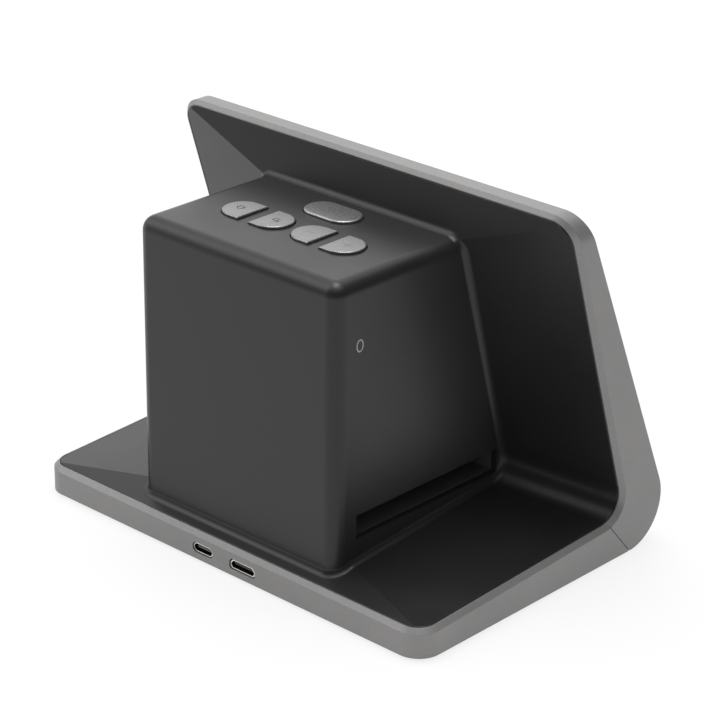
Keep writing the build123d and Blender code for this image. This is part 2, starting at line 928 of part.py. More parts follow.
bracket_width = panel_width - 2 * bracket_side_gap
bracket_height = panel_height - 2 * bracket_end_gap
bracket_inner = bracket_width / 2 - bracket_border

with BuildPart() as lcd_bracket:
    with BuildSketch(behind_face(panel_back)):
        with Locations((0, glass_middle)):
            Rectangle(bracket_width, bracket_height)
            Rectangle(2 * bracket_inner, bracket_height - 2 * bracket_border, mode=Mode.SUBTRACT)
        for across, along in bracket_bosses:
            with Locations((across / 2 + copysign(bracket_inner / 2, across), along)):
                Rectangle(abs(across) - bracket_inner + bracket_boss_diameter, bracket_ear)
        with Locations(*bracket_bosses):
            Circle(small_screw_diameter / 2 + screw_clearance, mode=Mode.SUBTRACT)
    extrude(amount=-bracket_thickness)

lcd_bracket.part.label = "lcd_bracket"
export_step(lcd_bracket.part, "parts/lcd_bracket.step")

lcd_screws = screws(
    behind_face(panel_back + bracket_thickness),
    bracket_bosses,
    small_head_diameter,
    small_head_height,
    small_screw_diameter,
    panel_thickness,
)
lcd_screws.part.label = "lcd_screws"
export_step(lcd_screws.part, "parts/lcd_screws.step")

# ---------------------------------------------------------------------------
# Film passage: lower gate with its rails, upper gate, side springs
# ---------------------------------------------------------------------------
gate_half = tower_half - tower_wall - gate_clearance
gate_rear = tower_rear + tower_wall + gate_clearance
gate_front = slot_rear + slot_length + gate_front_rail
gate_length = gate_front - gate_rear
gate_middle = (gate_front + gate_rear) / 2
gate_screw_places = points((gate_half - gate_screw_inset, slot_front + gate_front_rail / 2))
spring_places = points((spring_across, slot_front))

with BuildPart() as gate_lower:
    with BuildSketch(plan(slot_high)):
        with Locations((0, gate_middle)):
            RectangleRounded(2 * gate_half, gate_length, tower_edge_radius - tower_wall)
    extrude(amount=slot_height + gate_floor)
    with BuildSketch(side):
        with Locations((slot_middle, slot_low + slot_height)):
            Rectangle(slot_length, 2 * slot_height)
    extrude(amount=width, both=True, mode=Mode.SUBTRACT)
    with BuildSketch(plan(slot_low)):
        with Locations((0, slot_middle)):
            Rectangle(window_length, window_width)
    extrude(amount=2 * gate_floor, mode=Mode.SUBTRACT)
    with BuildSketch(plan(slot_high)):
        with Locations(*gate_screw_places):
            Circle(small_screw_diameter / 2 + thread_clearance)
    extrude(amount=slot_height, mode=Mode.SUBTRACT)
    with BuildSketch(plan(slot_low + (slot_height + spring_breadth) / 2 + screw_clearance)):
        with Locations(*points((spring_across, slot_front + spring_pocket / 2))):
            Rectangle(2 * (spring_half + spring_end_gap), spring_pocket)
    extrude(amount=spring_breadth + 2 * screw_clearance, mode=Mode.SUBTRACT)

gate_lower.part.label = "gate_lower"
export_step(gate_lower.part, "parts/gate_lower.step")

with BuildPart() as gate_upper:
    with BuildSketch(plan(slot_high + gate_roof)):
        with Locations((0, gate_middle)):
            RectangleRounded(2 * gate_half, gate_length, tower_edge_radius - tower_wall)
        with Locations((0, slot_middle)):
            Rectangle(window_length, window_width, mode=Mode.SUBTRACT)
        with Locations(*gate_screw_places):
            Circle(small_screw_diameter / 2 + screw_clearance, mode=Mode.SUBTRACT)
    extrude(amount=gate_roof)

gate_upper.part.label = "gate_upper"
export_step(gate_upper.part, "parts/gate_upper.step")

gate_screws = screws(
    plan(slot_high + gate_roof),
    gate_screw_places,
    small_head_diameter,
    small_head_height,
    small_screw_diameter,
    gate_roof + slot_height - screw_clearance,
)
gate_screws.part.label = "gate_screws"
export_step(gate_screws.part, "parts/gate_screws.step")

for name, (across, forward) in zip(("tray_spring_right", "tray_spring_left"), spring_places):
    with BuildPart() as tray_spring:
        with BuildSketch(plan(slot_low + (slot_height + spring_breadth) / 2)):
            with BuildLine():
                ThreePointArc(
                    (across - spring_half, forward + spring_pocket - spring_thickness / 2),
                    (across, forward - spring_bulge + spring_thickness / 2),
                    (across + spring_half, forward + spring_pocket - spring_thickness / 2),
                )
            trace(line_width=spring_thickness)
        extrude(amount=spring_breadth)
    tray_spring.part.label = name
    export_step(tray_spring.part, f"parts/{name}.step")

# ---------------------------------------------------------------------------
# Light under the gate: box, diffuser, board and lamps
# ---------------------------------------------------------------------------
gate_low = slot_low - gate_floor
light_board_top = shell_wall + light_board_thickness

with BuildPart() as light_box:
    with BuildSketch(plan(gate_low)):
        with Locations((0, slot_middle)):
            Rectangle(light_box_length, light_box_width)
            Rectangle(
                light_box_length - 4 * light_box_wall,
                light_box_width - 4 * light_box_wall,
                mode=Mode.SUBTRACT,
            )
    extrude(amount=gate_low - shell_wall)
    with BuildSketch(plan(gate_low)):
        with Locations((0, slot_middle)):
            Rectangle(diffuser_length + screw_clearance, diffuser_width + screw_clearance)
    extrude(amount=diffuser_thickness, mode=Mode.SUBTRACT)
    with BuildSketch(plan(gate_low - diffuser_thickness - light_box_wall)):
        with Locations((0, slot_middle)):
            Rectangle(light_box_length - 2 * light_box_wall, light_box_width - 2 * light_box_wall)
    extrude(amount=depth, mode=Mode.SUBTRACT)
    with BuildSketch(plan(shell_wall + light_notch_height)):
        with Locations((0, slot_middle - light_box_width / 2)):
            Rectangle(light_notch, 4 * light_box_wall)
    extrude(amount=light_notch_height, mode=Mode.SUBTRACT)

light_box.part.label = "light_box"
export_step(light_box.part, "parts/light_box.step")

with BuildPart() as diffuser:
    with BuildSketch(plan(gate_low)):
        with Locations((0, slot_middle)):
            Rectangle(diffuser_length, diffuser_width)
    extrude(amount=diffuser_thickness)

diffuser.part.label = "diffuser"
export_step(diffuser.part, "parts/diffuser.step")

with BuildPart() as light_board:
    with BuildSketch(plan(light_board_top)):
        with Locations((0, slot_middle)):
            Rectangle(
                light_box_length - 2 * light_box_wall - 2 * screw_clearance,
                light_box_width - 2 * light_box_wall - 2 * screw_clearance,
            )
    extrude(amount=light_board_thickness)

light_board.part.label = "light_board"
export_step(light_board.part, "parts/light_board.step")

with BuildPart() as light_lamps:
    with BuildSketch(plan(light_board_top + led_height)):
        with Locations((0, slot_middle)):
            with GridLocations(window_length / 3, window_width / 2, 4, 3):
                Rectangle(led_size, led_size)
    extrude(amount=led_height)

light_lamps.part.label = "light_lamps"
export_step(light_lamps.part, "parts/light_lamps.step")

# ---------------------------------------------------------------------------
# Camera over the gate: bracket, lens barrel, lenses, sensor and its board
# ---------------------------------------------------------------------------
camera_low = slot_high + gate_roof
camera_screw_places = [
    (across, slot_middle + along)
    for across in (camera_screw_inset - camera_length / 2, camera_length / 2 - camera_screw_inset)
    for along in (-(camera_width + camera_flange) / 2, (camera_width + camera_flange) / 2)
]
sensor_post_places = points(
    (sensor_post_across, slot_middle - sensor_post_along),
    (sensor_post_across, slot_middle + sensor_post_along),
)

with BuildPart() as camera_bracket:
    with BuildSketch(plan(camera_height)):
        with Locations((0, slot_middle)):
            RectangleRounded(camera_length, camera_width, 2 * camera_wall)
    extrude(amount=camera_height - camera_low)
    with BuildSketch(plan(camera_height - camera_plate)):
        with Locations((0, slot_middle)):
            Rectangle(camera_length - 2 * camera_wall, camera_width - 2 * camera_wall)
    extrude(amount=camera_height, mode=Mode.SUBTRACT)
    with BuildSketch(plan(camera_low + camera_plate)):
        with Locations((0, slot_middle)):
            RectangleRounded(camera_length, camera_width + 2 * camera_flange, 2 * camera_wall)
            Rectangle(
                camera_length - 2 * camera_wall, camera_width - 2 * camera_wall, mode=Mode.SUBTRACT
            )
        with Locations(*camera_screw_places):
            Circle(small_screw_diameter / 2 + screw_clearance, mode=Mode.SUBTRACT)
    extrude(amount=camera_plate)
    with BuildSketch(plan(sensor_board_low)):
        with Locations(*sensor_post_places):
            Circle(small_head_diameter / 2)
    extrude(amount=sensor_board_low - camera_height)
    with BuildSketch(plan(sensor_board_low)):
        with Locations(*sensor_post_places):
            Circle(small_screw_diameter / 2 + thread_clearance)
    extrude(amount=sensor_board_low - camera_height, mode=Mode.SUBTRACT)
    with BuildSketch(plan(camera_height)):
        with Locations((0, slot_middle)):
            Circle(barrel_diameter / 2 + thread_clearance)
    extrude(amount=2 * camera_plate, mode=Mode.SUBTRACT)

camera_bracket.part.label = "camera_bracket"
export_step(camera_bracket.part, "parts/camera_bracket.step")

barrel_axis = Plane(
    origin=(0, rear_y - slot_middle, foot_height), x_dir=(1, 0, 0), z_dir=(0, -1, 0)
)

with BuildPart() as lens_barrel:
    with BuildSketch(barrel_axis):
        with BuildLine():
            Polyline(
                (barrel_bore / 2, barrel_low + lens_seat),
                (lens_diameter / 2, barrel_low + lens_seat),
                (lens_diameter / 2, barrel_low),
                (barrel_diameter / 2, barrel_low),
                (barrel_diameter / 2, camera_height),
                (barrel_flange / 2, camera_height),
                (barrel_flange / 2, camera_height + barrel_flange_height),
                (barrel_diameter / 2, camera_height + barrel_flange_height),
                (barrel_diameter / 2, barrel_high),
                (lens_diameter / 2, barrel_high),
                (lens_diameter / 2, barrel_high - lens_seat),
                (barrel_bore / 2, barrel_high - lens_seat),
                close=True,
            )
        make_face()
    revolve(axis=Axis((0, rear_y - slot_middle, 0), (0, 0, 1)))

lens_barrel.part.label = "lens_barrel"
export_step(lens_barrel.part, "parts/lens_barrel.step")


def lens(seat, direction):
    """Glass with one domed side; the flat edge stands on its seat in the barrel."""
    edge = seat + direction * lens_edge
    crown = edge + direction * lens_crown
    with BuildPart() as glass:
        with BuildSketch(barrel_axis):
            with BuildLine():
                dome = TangentArc((0, crown), (lens_diameter / 2, edge), tangent=(1, 0))
                Polyline(dome @ 1, (lens_diameter / 2, seat), (0, seat), (0, crown))
            make_face()
        revolve(axis=Axis((0, rear_y - slot_middle, 0), (0, 0, 1)))
    return glass


lens_front = lens(barrel_low + lens_seat, -1)
lens_front.part.label = "lens_front"
export_step(lens_front.part, "parts/lens_front.step")

lens_rear = lens(barrel_high - lens_seat, 1)
lens_rear.part.label = "lens_rear"
export_step(lens_rear.part, "parts/lens_rear.step")

with BuildPart() as sensor_board:
    with BuildSketch(plan(sensor_board_low + sensor_board_thickness)):
        with Locations(((sensor_board_left + sensor_board_right) / 2, slot_middle)):
            Rectangle(sensor_board_right - sensor_board_left, sensor_board_width)
        with Locations(*sensor_post_places):
            Circle(small_screw_diameter / 2 + screw_clearance, mode=Mode.SUBTRACT)
    extrude(amount=sensor_board_thickness)

sensor_board.part.label = "sensor_board"
export_step(sensor_board.part, "parts/sensor_board.step")

with BuildPart() as image_sensor:
    with BuildSketch(plan(sensor_board_low)):
        with Locations((0, slot_middle)):
            Rectangle(sensor_length, sensor_width)
    extrude(amount=sensor_thickness)
    with BuildSketch(plan(sensor_board_low - sensor_thickness)):
        with Locations((0, slot_middle)):
            Rectangle(sensor_window_length, sensor_window_width)
    extrude(amount=-sensor_window_depth, mode=Mode.SUBTRACT)

image_sensor.part.label = "image_sensor"
export_step(image_sensor.part, "parts/image_sensor.step")

camera_screws = screws(
    plan(camera_low + camera_plate),
    camera_screw_places,
    small_head_diameter,
    small_head_height,
    small_screw_diameter,
    camera_plate,
)
camera_screws.part.label = "camera_screws"
export_step(camera_screws.part, "parts/camera_screws.step")

sensor_screws = screws(
    plan(sensor_board_low + sensor_board_thickness),
    sensor_post_places,
    small_head_diameter,
    small_head_height,
    small_screw_diameter,
    sensor_board_thickness + sensor_board_low - camera_height - screw_clearance,
)
sensor_screws.part.label = "sensor_screws"
export_step(sensor_screws.part, "parts/sensor_screws.step")

# ---------------------------------------------------------------------------
# Main board and its sockets
# ---------------------------------------------------------------------------
board_top = board_low + board_thickness
wing_middle = (wing_left + wing_right) / 2

with BuildPart() as main_board:
    with BuildSketch(plan(board_top)):
        with Locations(((strip_left + strip_right) / 2, (board_rear + strip_front) / 2)):
            Rectangle(strip_right - strip_left, strip_front - board_rear)
        with Locations((wing_middle, (wing_rear + wing_front) / 2)):
            Rectangle(wing_right - wing_left, wing_front - wing_rear)
        with Locations(*board_bosses):
            Circle(small_screw_diameter / 2 + screw_clearance, mode=Mode.SUBTRACT)
    extrude(amount=board_thickness)

main_board.part.label = "main_board"
export_step(main_board.part, "parts/main_board.step")

with BuildPart() as main_chips:
    with BuildSketch(plan(board_top + chip_height)):
        with Locations((wing_middle, wing_rear + chip_gap + processor_size / 2)):
            Rectangle(processor_size, processor_size)
        with Locations((wing_middle, wing_rear + 2 * chip_gap + processor_size + memory_width / 2)):
            Rectangle(memory_length, memory_width)
        with Locations((usb_across + chip_gap, (board_rear + strip_front) / 2)):
            Rectangle(charger_length, charger_width)
    extrude(amount=chip_height)

main_chips.part.label = "main_chips"
export_step(main_chips.part, "parts/main_chips.step")

with BuildPart() as usb_c_socket:
    with BuildSketch(rear.offset(recess_depth)):
        with Locations((usb_across, socket_height)):
            SlotOverall(usb_width, usb_height)
    extrude(amount=usb_depth)
    with BuildSketch(rear.offset(recess_depth)):
        with Locations((usb_across, socket_height)):
            SlotOverall(usb_width - 2 * socket_shell, usb_height - 2 * socket_shell)
    extrude(amount=usb_depth - socket_back, mode=Mode.SUBTRACT)
    with BuildSketch(rear.offset(recess_depth + usb_tongue_setback)):
        with Locations((usb_across, socket_height)):
            Rectangle(usb_tongue_width, usb_tongue_height)
    extrude(amount=usb_depth - socket_back)

usb_c_socket.part.label = "usb_c_socket"
export_step(usb_c_socket.part, "parts/usb_c_socket.step")

with BuildPart() as hdmi_socket:
    with BuildSketch(rear.offset(recess_depth)):
        with Locations((hdmi_across, socket_height)):
            add(hdmi_outline(0))
    extrude(amount=hdmi_depth)
    with BuildSketch(rear.offset(recess_depth)):
        with Locations((hdmi_across, socket_height)):
            add(hdmi_outline(socket_shell))
    extrude(amount=hdmi_depth - socket_back, mode=Mode.SUBTRACT)
    with BuildSketch(rear.offset(recess_depth + hdmi_tongue_setback)):
        with Locations((hdmi_across, socket_height + hdmi_tongue_rise)):
            Rectangle(hdmi_tongue_width, hdmi_tongue_height)
    extrude(amount=hdmi_depth - socket_back)

hdmi_socket.part.label = "hdmi_socket"
export_step(hdmi_socket.part, "parts/hdmi_socket.step")

with BuildPart() as sd_socket:
    with BuildSketch(plan(board_low)):
        with Locations((wing_right - card_depth / 2, card_forward)):
            Rectangle(card_depth, card_width)
    extrude(amount=card_height)
    with BuildSketch(card_plane):
        with Locations((card_forward, board_low - card_height / 2)):
            Rectangle(card_width - 2 * card_side_wall, card_height - 2 * card_skin)
    extrude(amount=card_depth, mode=Mode.SUBTRACT)

sd_socket.part.label = "sd_socket"
export_step(sd_socket.part, "parts/sd_socket.step")

board_screws = screws(
    plan(board_top),
    board_bosses,
    small_head_diameter,
    small_head_height,
    small_screw_diameter,
    board_top - shell_wall - screw_clearance,
)
board_screws.part.label = "board_screws"
export_step(board_screws.part, "parts/board_screws.step")

# ---------------------------------------------------------------------------
# Flat ribbon cables between the boards
# ---------------------------------------------------------------------------
def ribbon(name, across, breadth, bend, route):
    """Flat cable along a route of forward and height points, bent with one radius."""
    start = Plane(origin=(across, rear_y, foot_height), x_dir=(0, -1, 0), z_dir=(-1, 0, 0))
    with BuildPart() as cable:
        with BuildSketch(start):
            with BuildLine():
                FilletPolyline(*route, radius=bend)
            trace(line_width=ribbon_thickness)
        extrude(amount=breadth / 2, both=True)
    cable.part.label = name
    export_step(cable.part, f"parts/{name}.step")


def down_the_front(start, run, height):
    """Route from a high board, down ahead of the film passage, to the main board."""
    return [
        (start, height),
        (start + run, height),
        (ribbon_drop, ribbon_turn_height),
        (ribbon_drop, on_board + ribbon_landing_rise),
        (ribbon_drop - ribbon_landing_set, on_board),
        (board_rear + 2 * board_boss_edge, on_board),
    ]


ribbon_drop = seam_corner()[0] - ribbon_drop_set
ribbon_across = light_box_length / 2 + ribbon_gap + ribbon_breadth / 2
on_board = board_top + ribbon_thickness / 2
under_board = board_low - ribbon_thickness / 2
on_sensor_board = sensor_board_low + sensor_board_thickness + ribbon_thickness / 2
under_button_board = button_board_bottom - ribbon_thickness / 2
on_light_board = light_board_top + ribbon_thickness / 2
behind_panel = panel_back + ribbon_thickness / 2


def panel_point(along):
    """Point behind the panel, at a distance up its slope."""
    return (
        face_foot[0] - along * sin(lean) - behind_panel * cos(lean),
        face_foot[1] + along * cos(lean) - behind_panel * sin(lean),
    )


ribbon(
    "screen_ribbon",
    width / 2 - base_boss_side - (base_boss_diameter + screen_ribbon_breadth) / 2 - screen_ribbon_gap,
    screen_ribbon_breadth,
    ribbon_bend,
    [
        panel_point(screen_ribbon_start),
        panel_point(screen_ribbon_start - screen_ribbon_tail),
        (bend_forward - screen_ribbon_set, on_board + ribbon_thickness),
        (wing_front + board_boss_edge, on_board),
        (wing_front - 2 * board_boss_edge, on_board),
    ],
)
ribbon(
    "sensor_ribbon",
    ribbon_across,
    ribbon_breadth,
    ribbon_bend,
    down_the_front(
        slot_middle + sensor_post_along - ribbon_thickness,
        sensor_ribbon_run,
        on_sensor_board,
    ),
)
ribbon(
    "button_ribbon",
    -ribbon_across,
    ribbon_breadth,
    ribbon_bend,
    down_the_front(
        button_plate_middle + button_plate_half - ribbon_plug,
        button_ribbon_run,
        under_button_board,
    ),
)
light_box_rear = slot_middle - light_box_width / 2
ribbon(
    "light_ribbon",
    0,
    ribbon_breadth,
    light_ribbon_bend,
    [
        (light_box_rear + ribbon_plug, on_light_board),
        (light_box_rear - light_ribbon_step, on_light_board),
        (strip_front - light_ribbon_step, under_board),
        (strip_front - ribbon_plug, under_board),
    ],
)

# ---------------------------------------------------------------------------
# Screws from below and rubber feet
# ---------------------------------------------------------------------------
base_screws = screws(
    upward(base_head_height),
    turned(base_bosses + tab_screws),
    base_head_diameter,
    base_head_height,
    base_screw_diameter,
    base_screw_tip - base_head_height,
)
base_screws.part.label = "base_screws"
export_step(base_screws.part, "parts/base_screws.step")

with BuildPart() as feet:
    with BuildSketch(plan(foot_recess)):
        with Locations(*foot_places):
            Circle(foot_diameter / 2)
    extrude(amount=foot_recess + foot_height)
    fillet(feet.faces().group_by(Axis.Z)[0].edges(), foot_height / 3)

feet.part.label = "feet"
export_step(feet.part, "parts/feet.step")
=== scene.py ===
"""Looks of a desktop film scanner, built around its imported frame.

Sizes are in millimetres as "across" from the middle plane, "forward" from the
rear face of the base and "height" from the underside of the grey frame.
place() turns them into the frame's metres.
"""
import json
from math import atan2, cos, degrees, pi, radians, sin, tan

import bmesh
import bpy
from mathutils import Matrix, Vector


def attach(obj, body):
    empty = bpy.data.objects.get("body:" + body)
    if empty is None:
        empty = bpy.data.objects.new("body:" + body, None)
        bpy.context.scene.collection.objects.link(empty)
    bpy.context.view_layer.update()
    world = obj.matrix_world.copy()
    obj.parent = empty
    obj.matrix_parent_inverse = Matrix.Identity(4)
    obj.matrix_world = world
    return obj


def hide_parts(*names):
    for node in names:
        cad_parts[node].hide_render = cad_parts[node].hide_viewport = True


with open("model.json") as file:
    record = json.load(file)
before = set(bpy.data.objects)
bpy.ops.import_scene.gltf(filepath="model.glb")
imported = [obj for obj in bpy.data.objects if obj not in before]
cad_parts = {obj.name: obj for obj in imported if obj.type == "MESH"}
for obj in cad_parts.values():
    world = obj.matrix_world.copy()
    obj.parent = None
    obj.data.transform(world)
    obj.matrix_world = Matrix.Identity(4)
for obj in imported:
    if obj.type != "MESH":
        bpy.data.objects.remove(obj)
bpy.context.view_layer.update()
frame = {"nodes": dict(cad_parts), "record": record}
nodes = frame["nodes"]
MM = 0.001

# ---------------------------------------------------------------------------
# Sizes of the cover, the buttons and the sockets, as the construction has them
# ---------------------------------------------------------------------------
depth = 122.0
width = 178.0
frame_height = 129.1
foot_height = 1.0
screen_lean = radians(23.2)
rim_lean = radians(17.5)
deck_tilt = radians(2.45)
lower_radius = 16.1
top_thickness = 7.4
seam_height = 9.95
side_wall = 2.0
shell_wall = 2.4
rear_corner_radius = 8.5
top_corner_radius = 9.5
cover_wall = 2.0
seam_gap = 0.15
ridge_half = 38.0
deck_ridge_rear = 17.0
deck_ridge_height = 13.9
deck_ridge_tilt = radians(5.06)
back_ridge_top = 109.5
back_ridge_set = 9.0
back_ridge_lean = radians(15.9)
crease_radius = 8.5
tower_half = 45.5
tower_rear = 6.8
tower_top = 112.4
tower_wall = 2.2
tower_edge_radius = 5.2
slot_rear = 16.8
slot_setback = 17.4
slot_low = 21.8
slot_height = 8.6
cap_rise = 0.9
cap_clearance = 0.3
pair_centre = 15.9
row_spacing = 18.9
scan_setback = 11.8
pair_length = 28.4
pair_width = 14.4
pair_gap = 5.0
scan_length = 22.2
scan_width = 12.9
mark_diameter = 4.4
mark_forward = 17.6
mark_height = 89.9
mark_depth = 0.5
socket_height = 4.3
socket_recess = 0.4
socket_lip = 0.3
usb_across = 8.9
usb_tongue_half = 3.35
tongue_half_height = 0.45

# Roundings and fine marks that only the looks have
foot_fillet = 2.1
rim_round = 0.3
opening_round = 0.35
mark_stroke = 0.5
mark_narrowing = 0.75
picture_stroke = 0.32
picture_rise = 0.04

# Reach of the blocks that the cover's mesh is cut from and with
slab_thickness = 40.0
hollow_thickness = 90.0
hole_reach = 10.0

cover_inset = side_wall + seam_gap
cover_half = width / 2 - cover_inset
rear_y = depth / 2
bend_forward = depth - lower_radius
face_foot_forward = bend_forward + lower_radius * cos(screen_lean)
face_foot_height = lower_radius * (1 + sin(screen_lean))
face_top_forward = face_foot_forward - (frame_height - face_foot_height) * tan(screen_lean)
rim_top = face_top_forward - top_thickness


def place(across, forward, height):
    """Point of the row frame, in metres."""
    return Vector((across * MM, (rear_y - forward) * MM, (foot_height + height) * MM))


def rim_forward(height):
    """Forward place of the seam along the screen frame."""
    return rim_top + (frame_height - height) * tan(rim_lean)


seam_corner_forward = rim_forward(seam_height) / (1 + tan(deck_tilt) * tan(rim_lean))
slot_front = seam_corner_forward - slot_setback
socket_depth = ("Y", 0.0, (rear_y - socket_recess - socket_lip) * MM)
back_ridge_forward = rim_forward(back_ridge_top) - back_ridge_set
scan_forward = back_ridge_forward - scan_setback
pair_forward = scan_forward - row_spacing

# ---------------------------------------------------------------------------
# Camera, at the photograph's angle
# ---------------------------------------------------------------------------
camera_yaw = radians(42.564)
camera_pitch = radians(23.968)
camera_roll = radians(0.7693)
camera_distance = 919.19
camera_target = (-4.553, -6.099, 56.018)
focal_pixels = 2702.69
image_pixels = 720
image_centre = (370.49, 364.56)
sensor_width = 36.0


def make_camera():
    """Camera whose lens, place and roll come from the photograph's perspective."""
    back = Vector((
        -sin(camera_yaw) * cos(camera_pitch),
        cos(camera_yaw) * cos(camera_pitch),
        sin(camera_pitch),
    ))
    right = (-back).cross(Vector((0, 0, 1))).normalized()
    up = right.cross(-back)
    rolled_right = right * cos(camera_roll) + up * sin(camera_roll)
    rolled_up = up * cos(camera_roll) - right * sin(camera_roll)
    turn = Matrix((rolled_right, rolled_up, back)).transposed()
    data = bpy.data.cameras.new("camera")
    data.sensor_width = sensor_width
    data.lens = focal_pixels * sensor_width / image_pixels
    data.shift_x = (image_pixels / 2 - image_centre[0]) / image_pixels
    data.shift_y = (image_centre[1] - image_pixels / 2) / image_pixels
    data.clip_start = 0.01
    camera = bpy.data.objects.new("camera", data)
    place_of = (Vector(camera_target) + back * camera_distance) * MM
    camera.matrix_world = Matrix.Translation(place_of) @ turn.to_4x4()
    bpy.context.scene.collection.objects.link(camera)
    bpy.context.scene.camera = camera


make_camera()

# ---------------------------------------------------------------------------
# Mesh helpers
# ---------------------------------------------------------------------------


def new_object(name, mesh):
    """Object from a mesh, linked to the scene."""
    piece = bpy.data.objects.new(name, mesh)
    bpy.context.scene.collection.objects.link(piece)
    return piece


def finish_mesh(name, shape):
    """Object from a bmesh, with its normals outward."""
    bmesh.ops.recalc_face_normals(shape, faces=shape.faces)
    mesh = bpy.data.meshes.new(name)
    shape.to_mesh(mesh)
    shape.free()
    return new_object(name, mesh)


def add_tags(piece, tags):
    """Empty material slots, so that a face keeps its region's number through cuts."""
    for tag in tags:
        piece.data.materials.append(bpy.data.materials.get(tag) or bpy.data.materials.new(tag))


def cut(piece, tool, operation):
    """Boolean of a piece with a tool, which is used up."""
    change = piece.modifiers.new("cut", "BOOLEAN")
    change.object = tool
    change.operation = operation
    change.solver = "EXACT"
    change.material_mode = "INDEX"
    result = bpy.data.meshes.new_from_object(
        piece.evaluated_get(bpy.context.evaluated_depsgraph_get())
    )
    piece.modifiers.clear()
    piece.data = result
    bpy.data.objects.remove(tool)


def prism(name, outline, start, end, to_place, tag=0):
    """Solid between two levels of a closed outline; to_place turns (a, b, level) to metres."""
    shape = bmesh.new()
    low = [shape.verts.new(to_place(a, b, start)) for a, b in outline]
    high = [shape.verts.new(to_place(a, b, end)) for a, b in outline]
    shape.faces.new(low)
    shape.faces.new(list(reversed(high)))
    count = len(outline)
    for index in range(count):
        after = (index + 1) % count
        shape.faces.new((low[index], high[index], high[after], low[after]))
    for made in shape.faces:
        made.material_index = tag
    return finish_mesh(name, shape)


def arc(centre, radius, start, end, steps):
    """Points of an arc, from one angle in degrees to another."""
    return [
        (
            centre[0] + radius * cos(radians(start + (end - start) * step / steps)),
            centre[1] + radius * sin(radians(start + (end - start) * step / steps)),
        )
        for step in range(steps + 1)
    ]


# ---------------------------------------------------------------------------
# Rear cover: slopes around a tower, with its inside corners rounded
# ---------------------------------------------------------------------------
REGIONS = ("tower", "sides", "rear_facet", "top_facet", "rim", "cuts")
TOWER, SIDES, REAR_FACET, TOP_FACET, RIM, CUTS = range(len(REGIONS))
stations = (-0.06, 1 / 3, 2 / 3, 1.0)
profile_steps = 3
crease_steps = 10


def between(start, end, share):
    """Point a share of the way from one (forward, height) point to another."""
    return tuple(a + (b - a) * share for a, b in zip(start, end))


def slope_lines(share, drop):
    """Deck line and back line of the slopes at a share of the way in to the ridges."""
    ridge_start = deck_ridge_height - deck_ridge_rear * tan(deck_ridge_tilt)
    back_start = back_ridge_forward + back_ridge_top * tan(back_ridge_lean)
    top = frame_height - cover_inset

    def low_point(forward):
        return (forward, seam_height + forward * tan(deck_tilt) - drop)

    def ridge_point(forward):
        return (forward, ridge_start + forward * tan(deck_ridge_tilt) - drop)

    def rim_point(height):
        return (rim_forward(height) + drop, height)

    def back_point(height):
        return (back_start + drop - height * tan(back_ridge_lean), height)

    deck = (
        between(low_point(cover_inset), ridge_point(deck_ridge_rear), share),
        between(low_point(bend_forward), ridge_point(bend_forward), share),
    )
    back = (
        between(rim_point(shell_wall), back_point(shell_wall), share),
        between(rim_point(top), back_point(back_ridge_top), share),
    )
    return deck, back


def crossing(first, second):
    """Point where two lines, each given by two points, cross."""
    (ax, ay), (bx, by) = first
    (cx, cy), (dx, dy) = second
    spread = (bx - ax) * (dy - cy) - (by - ay) * (dx - cx)
    share = ((cx - ax) * (dy - cy) - (cy - ay) * (dx - cx)) / spread
    return (ax + (bx - ax) * share, ay + (by - ay) * share)


def slope_profile(share, drop):
    """(forward, height) points along deck, rounded crease and back at one station."""
    deck, back = slope_lines(share, drop)
    corner = crossing(deck, back)
    radius = crease_radius + drop
    along_deck = Vector(deck[0]) - Vector(corner)
    along_back = Vector(back[1]) - Vector(corner)
    angle = along_deck.angle(along_back)
    reach = radius / tan(angle / 2)
    start = Vector(corner) + along_deck.normalized() * reach
    bisector = (along_deck.normalized() + along_back.normalized()).normalized()
    centre = Vector(corner) + bisector * radius / sin(angle / 2)
    first = atan2(start.y - centre.y, start.x - centre.x)
    points = [between(deck[0], tuple(start), step / profile_steps) for step in range(profile_steps)]
    turn = pi - angle
    for step in range(crease_steps + 1):
        here = first + turn * step / crease_steps
        points.append((centre.x + radius * cos(here), centre.y + radius * sin(here)))
    end = points[-1]
    points += [between(end, back[1], (step + 1) / profile_steps) for step in range(profile_steps)]
    return points


def slopes(name, drop, thickness):
    """Closed slab under the sloping facets of the deck and behind the screen."""
    shape = bmesh.new()
    acrosses = [cover_half + (ridge_half - cover_half) * share for share in stations]
    columns = [(-across, share) for across, share in zip(acrosses, stations)]
    columns += [(across, share) for across, share in reversed(list(zip(acrosses, stations)))]
    grid = []
    for across, share in columns:
        profile = slope_profile(share, drop)
        grid.append([shape.verts.new(place(across, *point)) for point in profile])
    for left, right in zip(grid, grid[1:]):
        for index in range(len(left) - 1):
            made = shape.faces.new((left[index], left[index + 1], right[index + 1], right[index]))
            made.material_index = SIDES
    for end, tag in ((0, REAR_FACET), (-1, TOP_FACET)):
        corners = [column[end] for column in grid]
        if tag == REAR_FACET:
            corners = list(reversed(corners))
        made = shape.faces.new(corners)
        made.material_index = tag
    rim = [edge for edge in shape.edges if len(edge.link_faces) == 1]
    sheet = shape.faces[:] + shape.edges[:] + shape.verts[:]
    under = bmesh.ops.duplicate(shape, geom=sheet)
    moved = [item for item in under["geom"] if isinstance(item, bmesh.types.BMVert)]
    bmesh.ops.translate(shape, verts=moved, vec=Vector((0, -thickness * MM, -thickness * MM)))
    for edge in rim:
        start, end = edge.verts
        made = shape.faces.new((start, end, under["vert_map"][end], under["vert_map"][start]))
        made.material_index = RIM
    piece = finish_mesh(name, shape)
    add_tags(piece, REGIONS)
    return piece


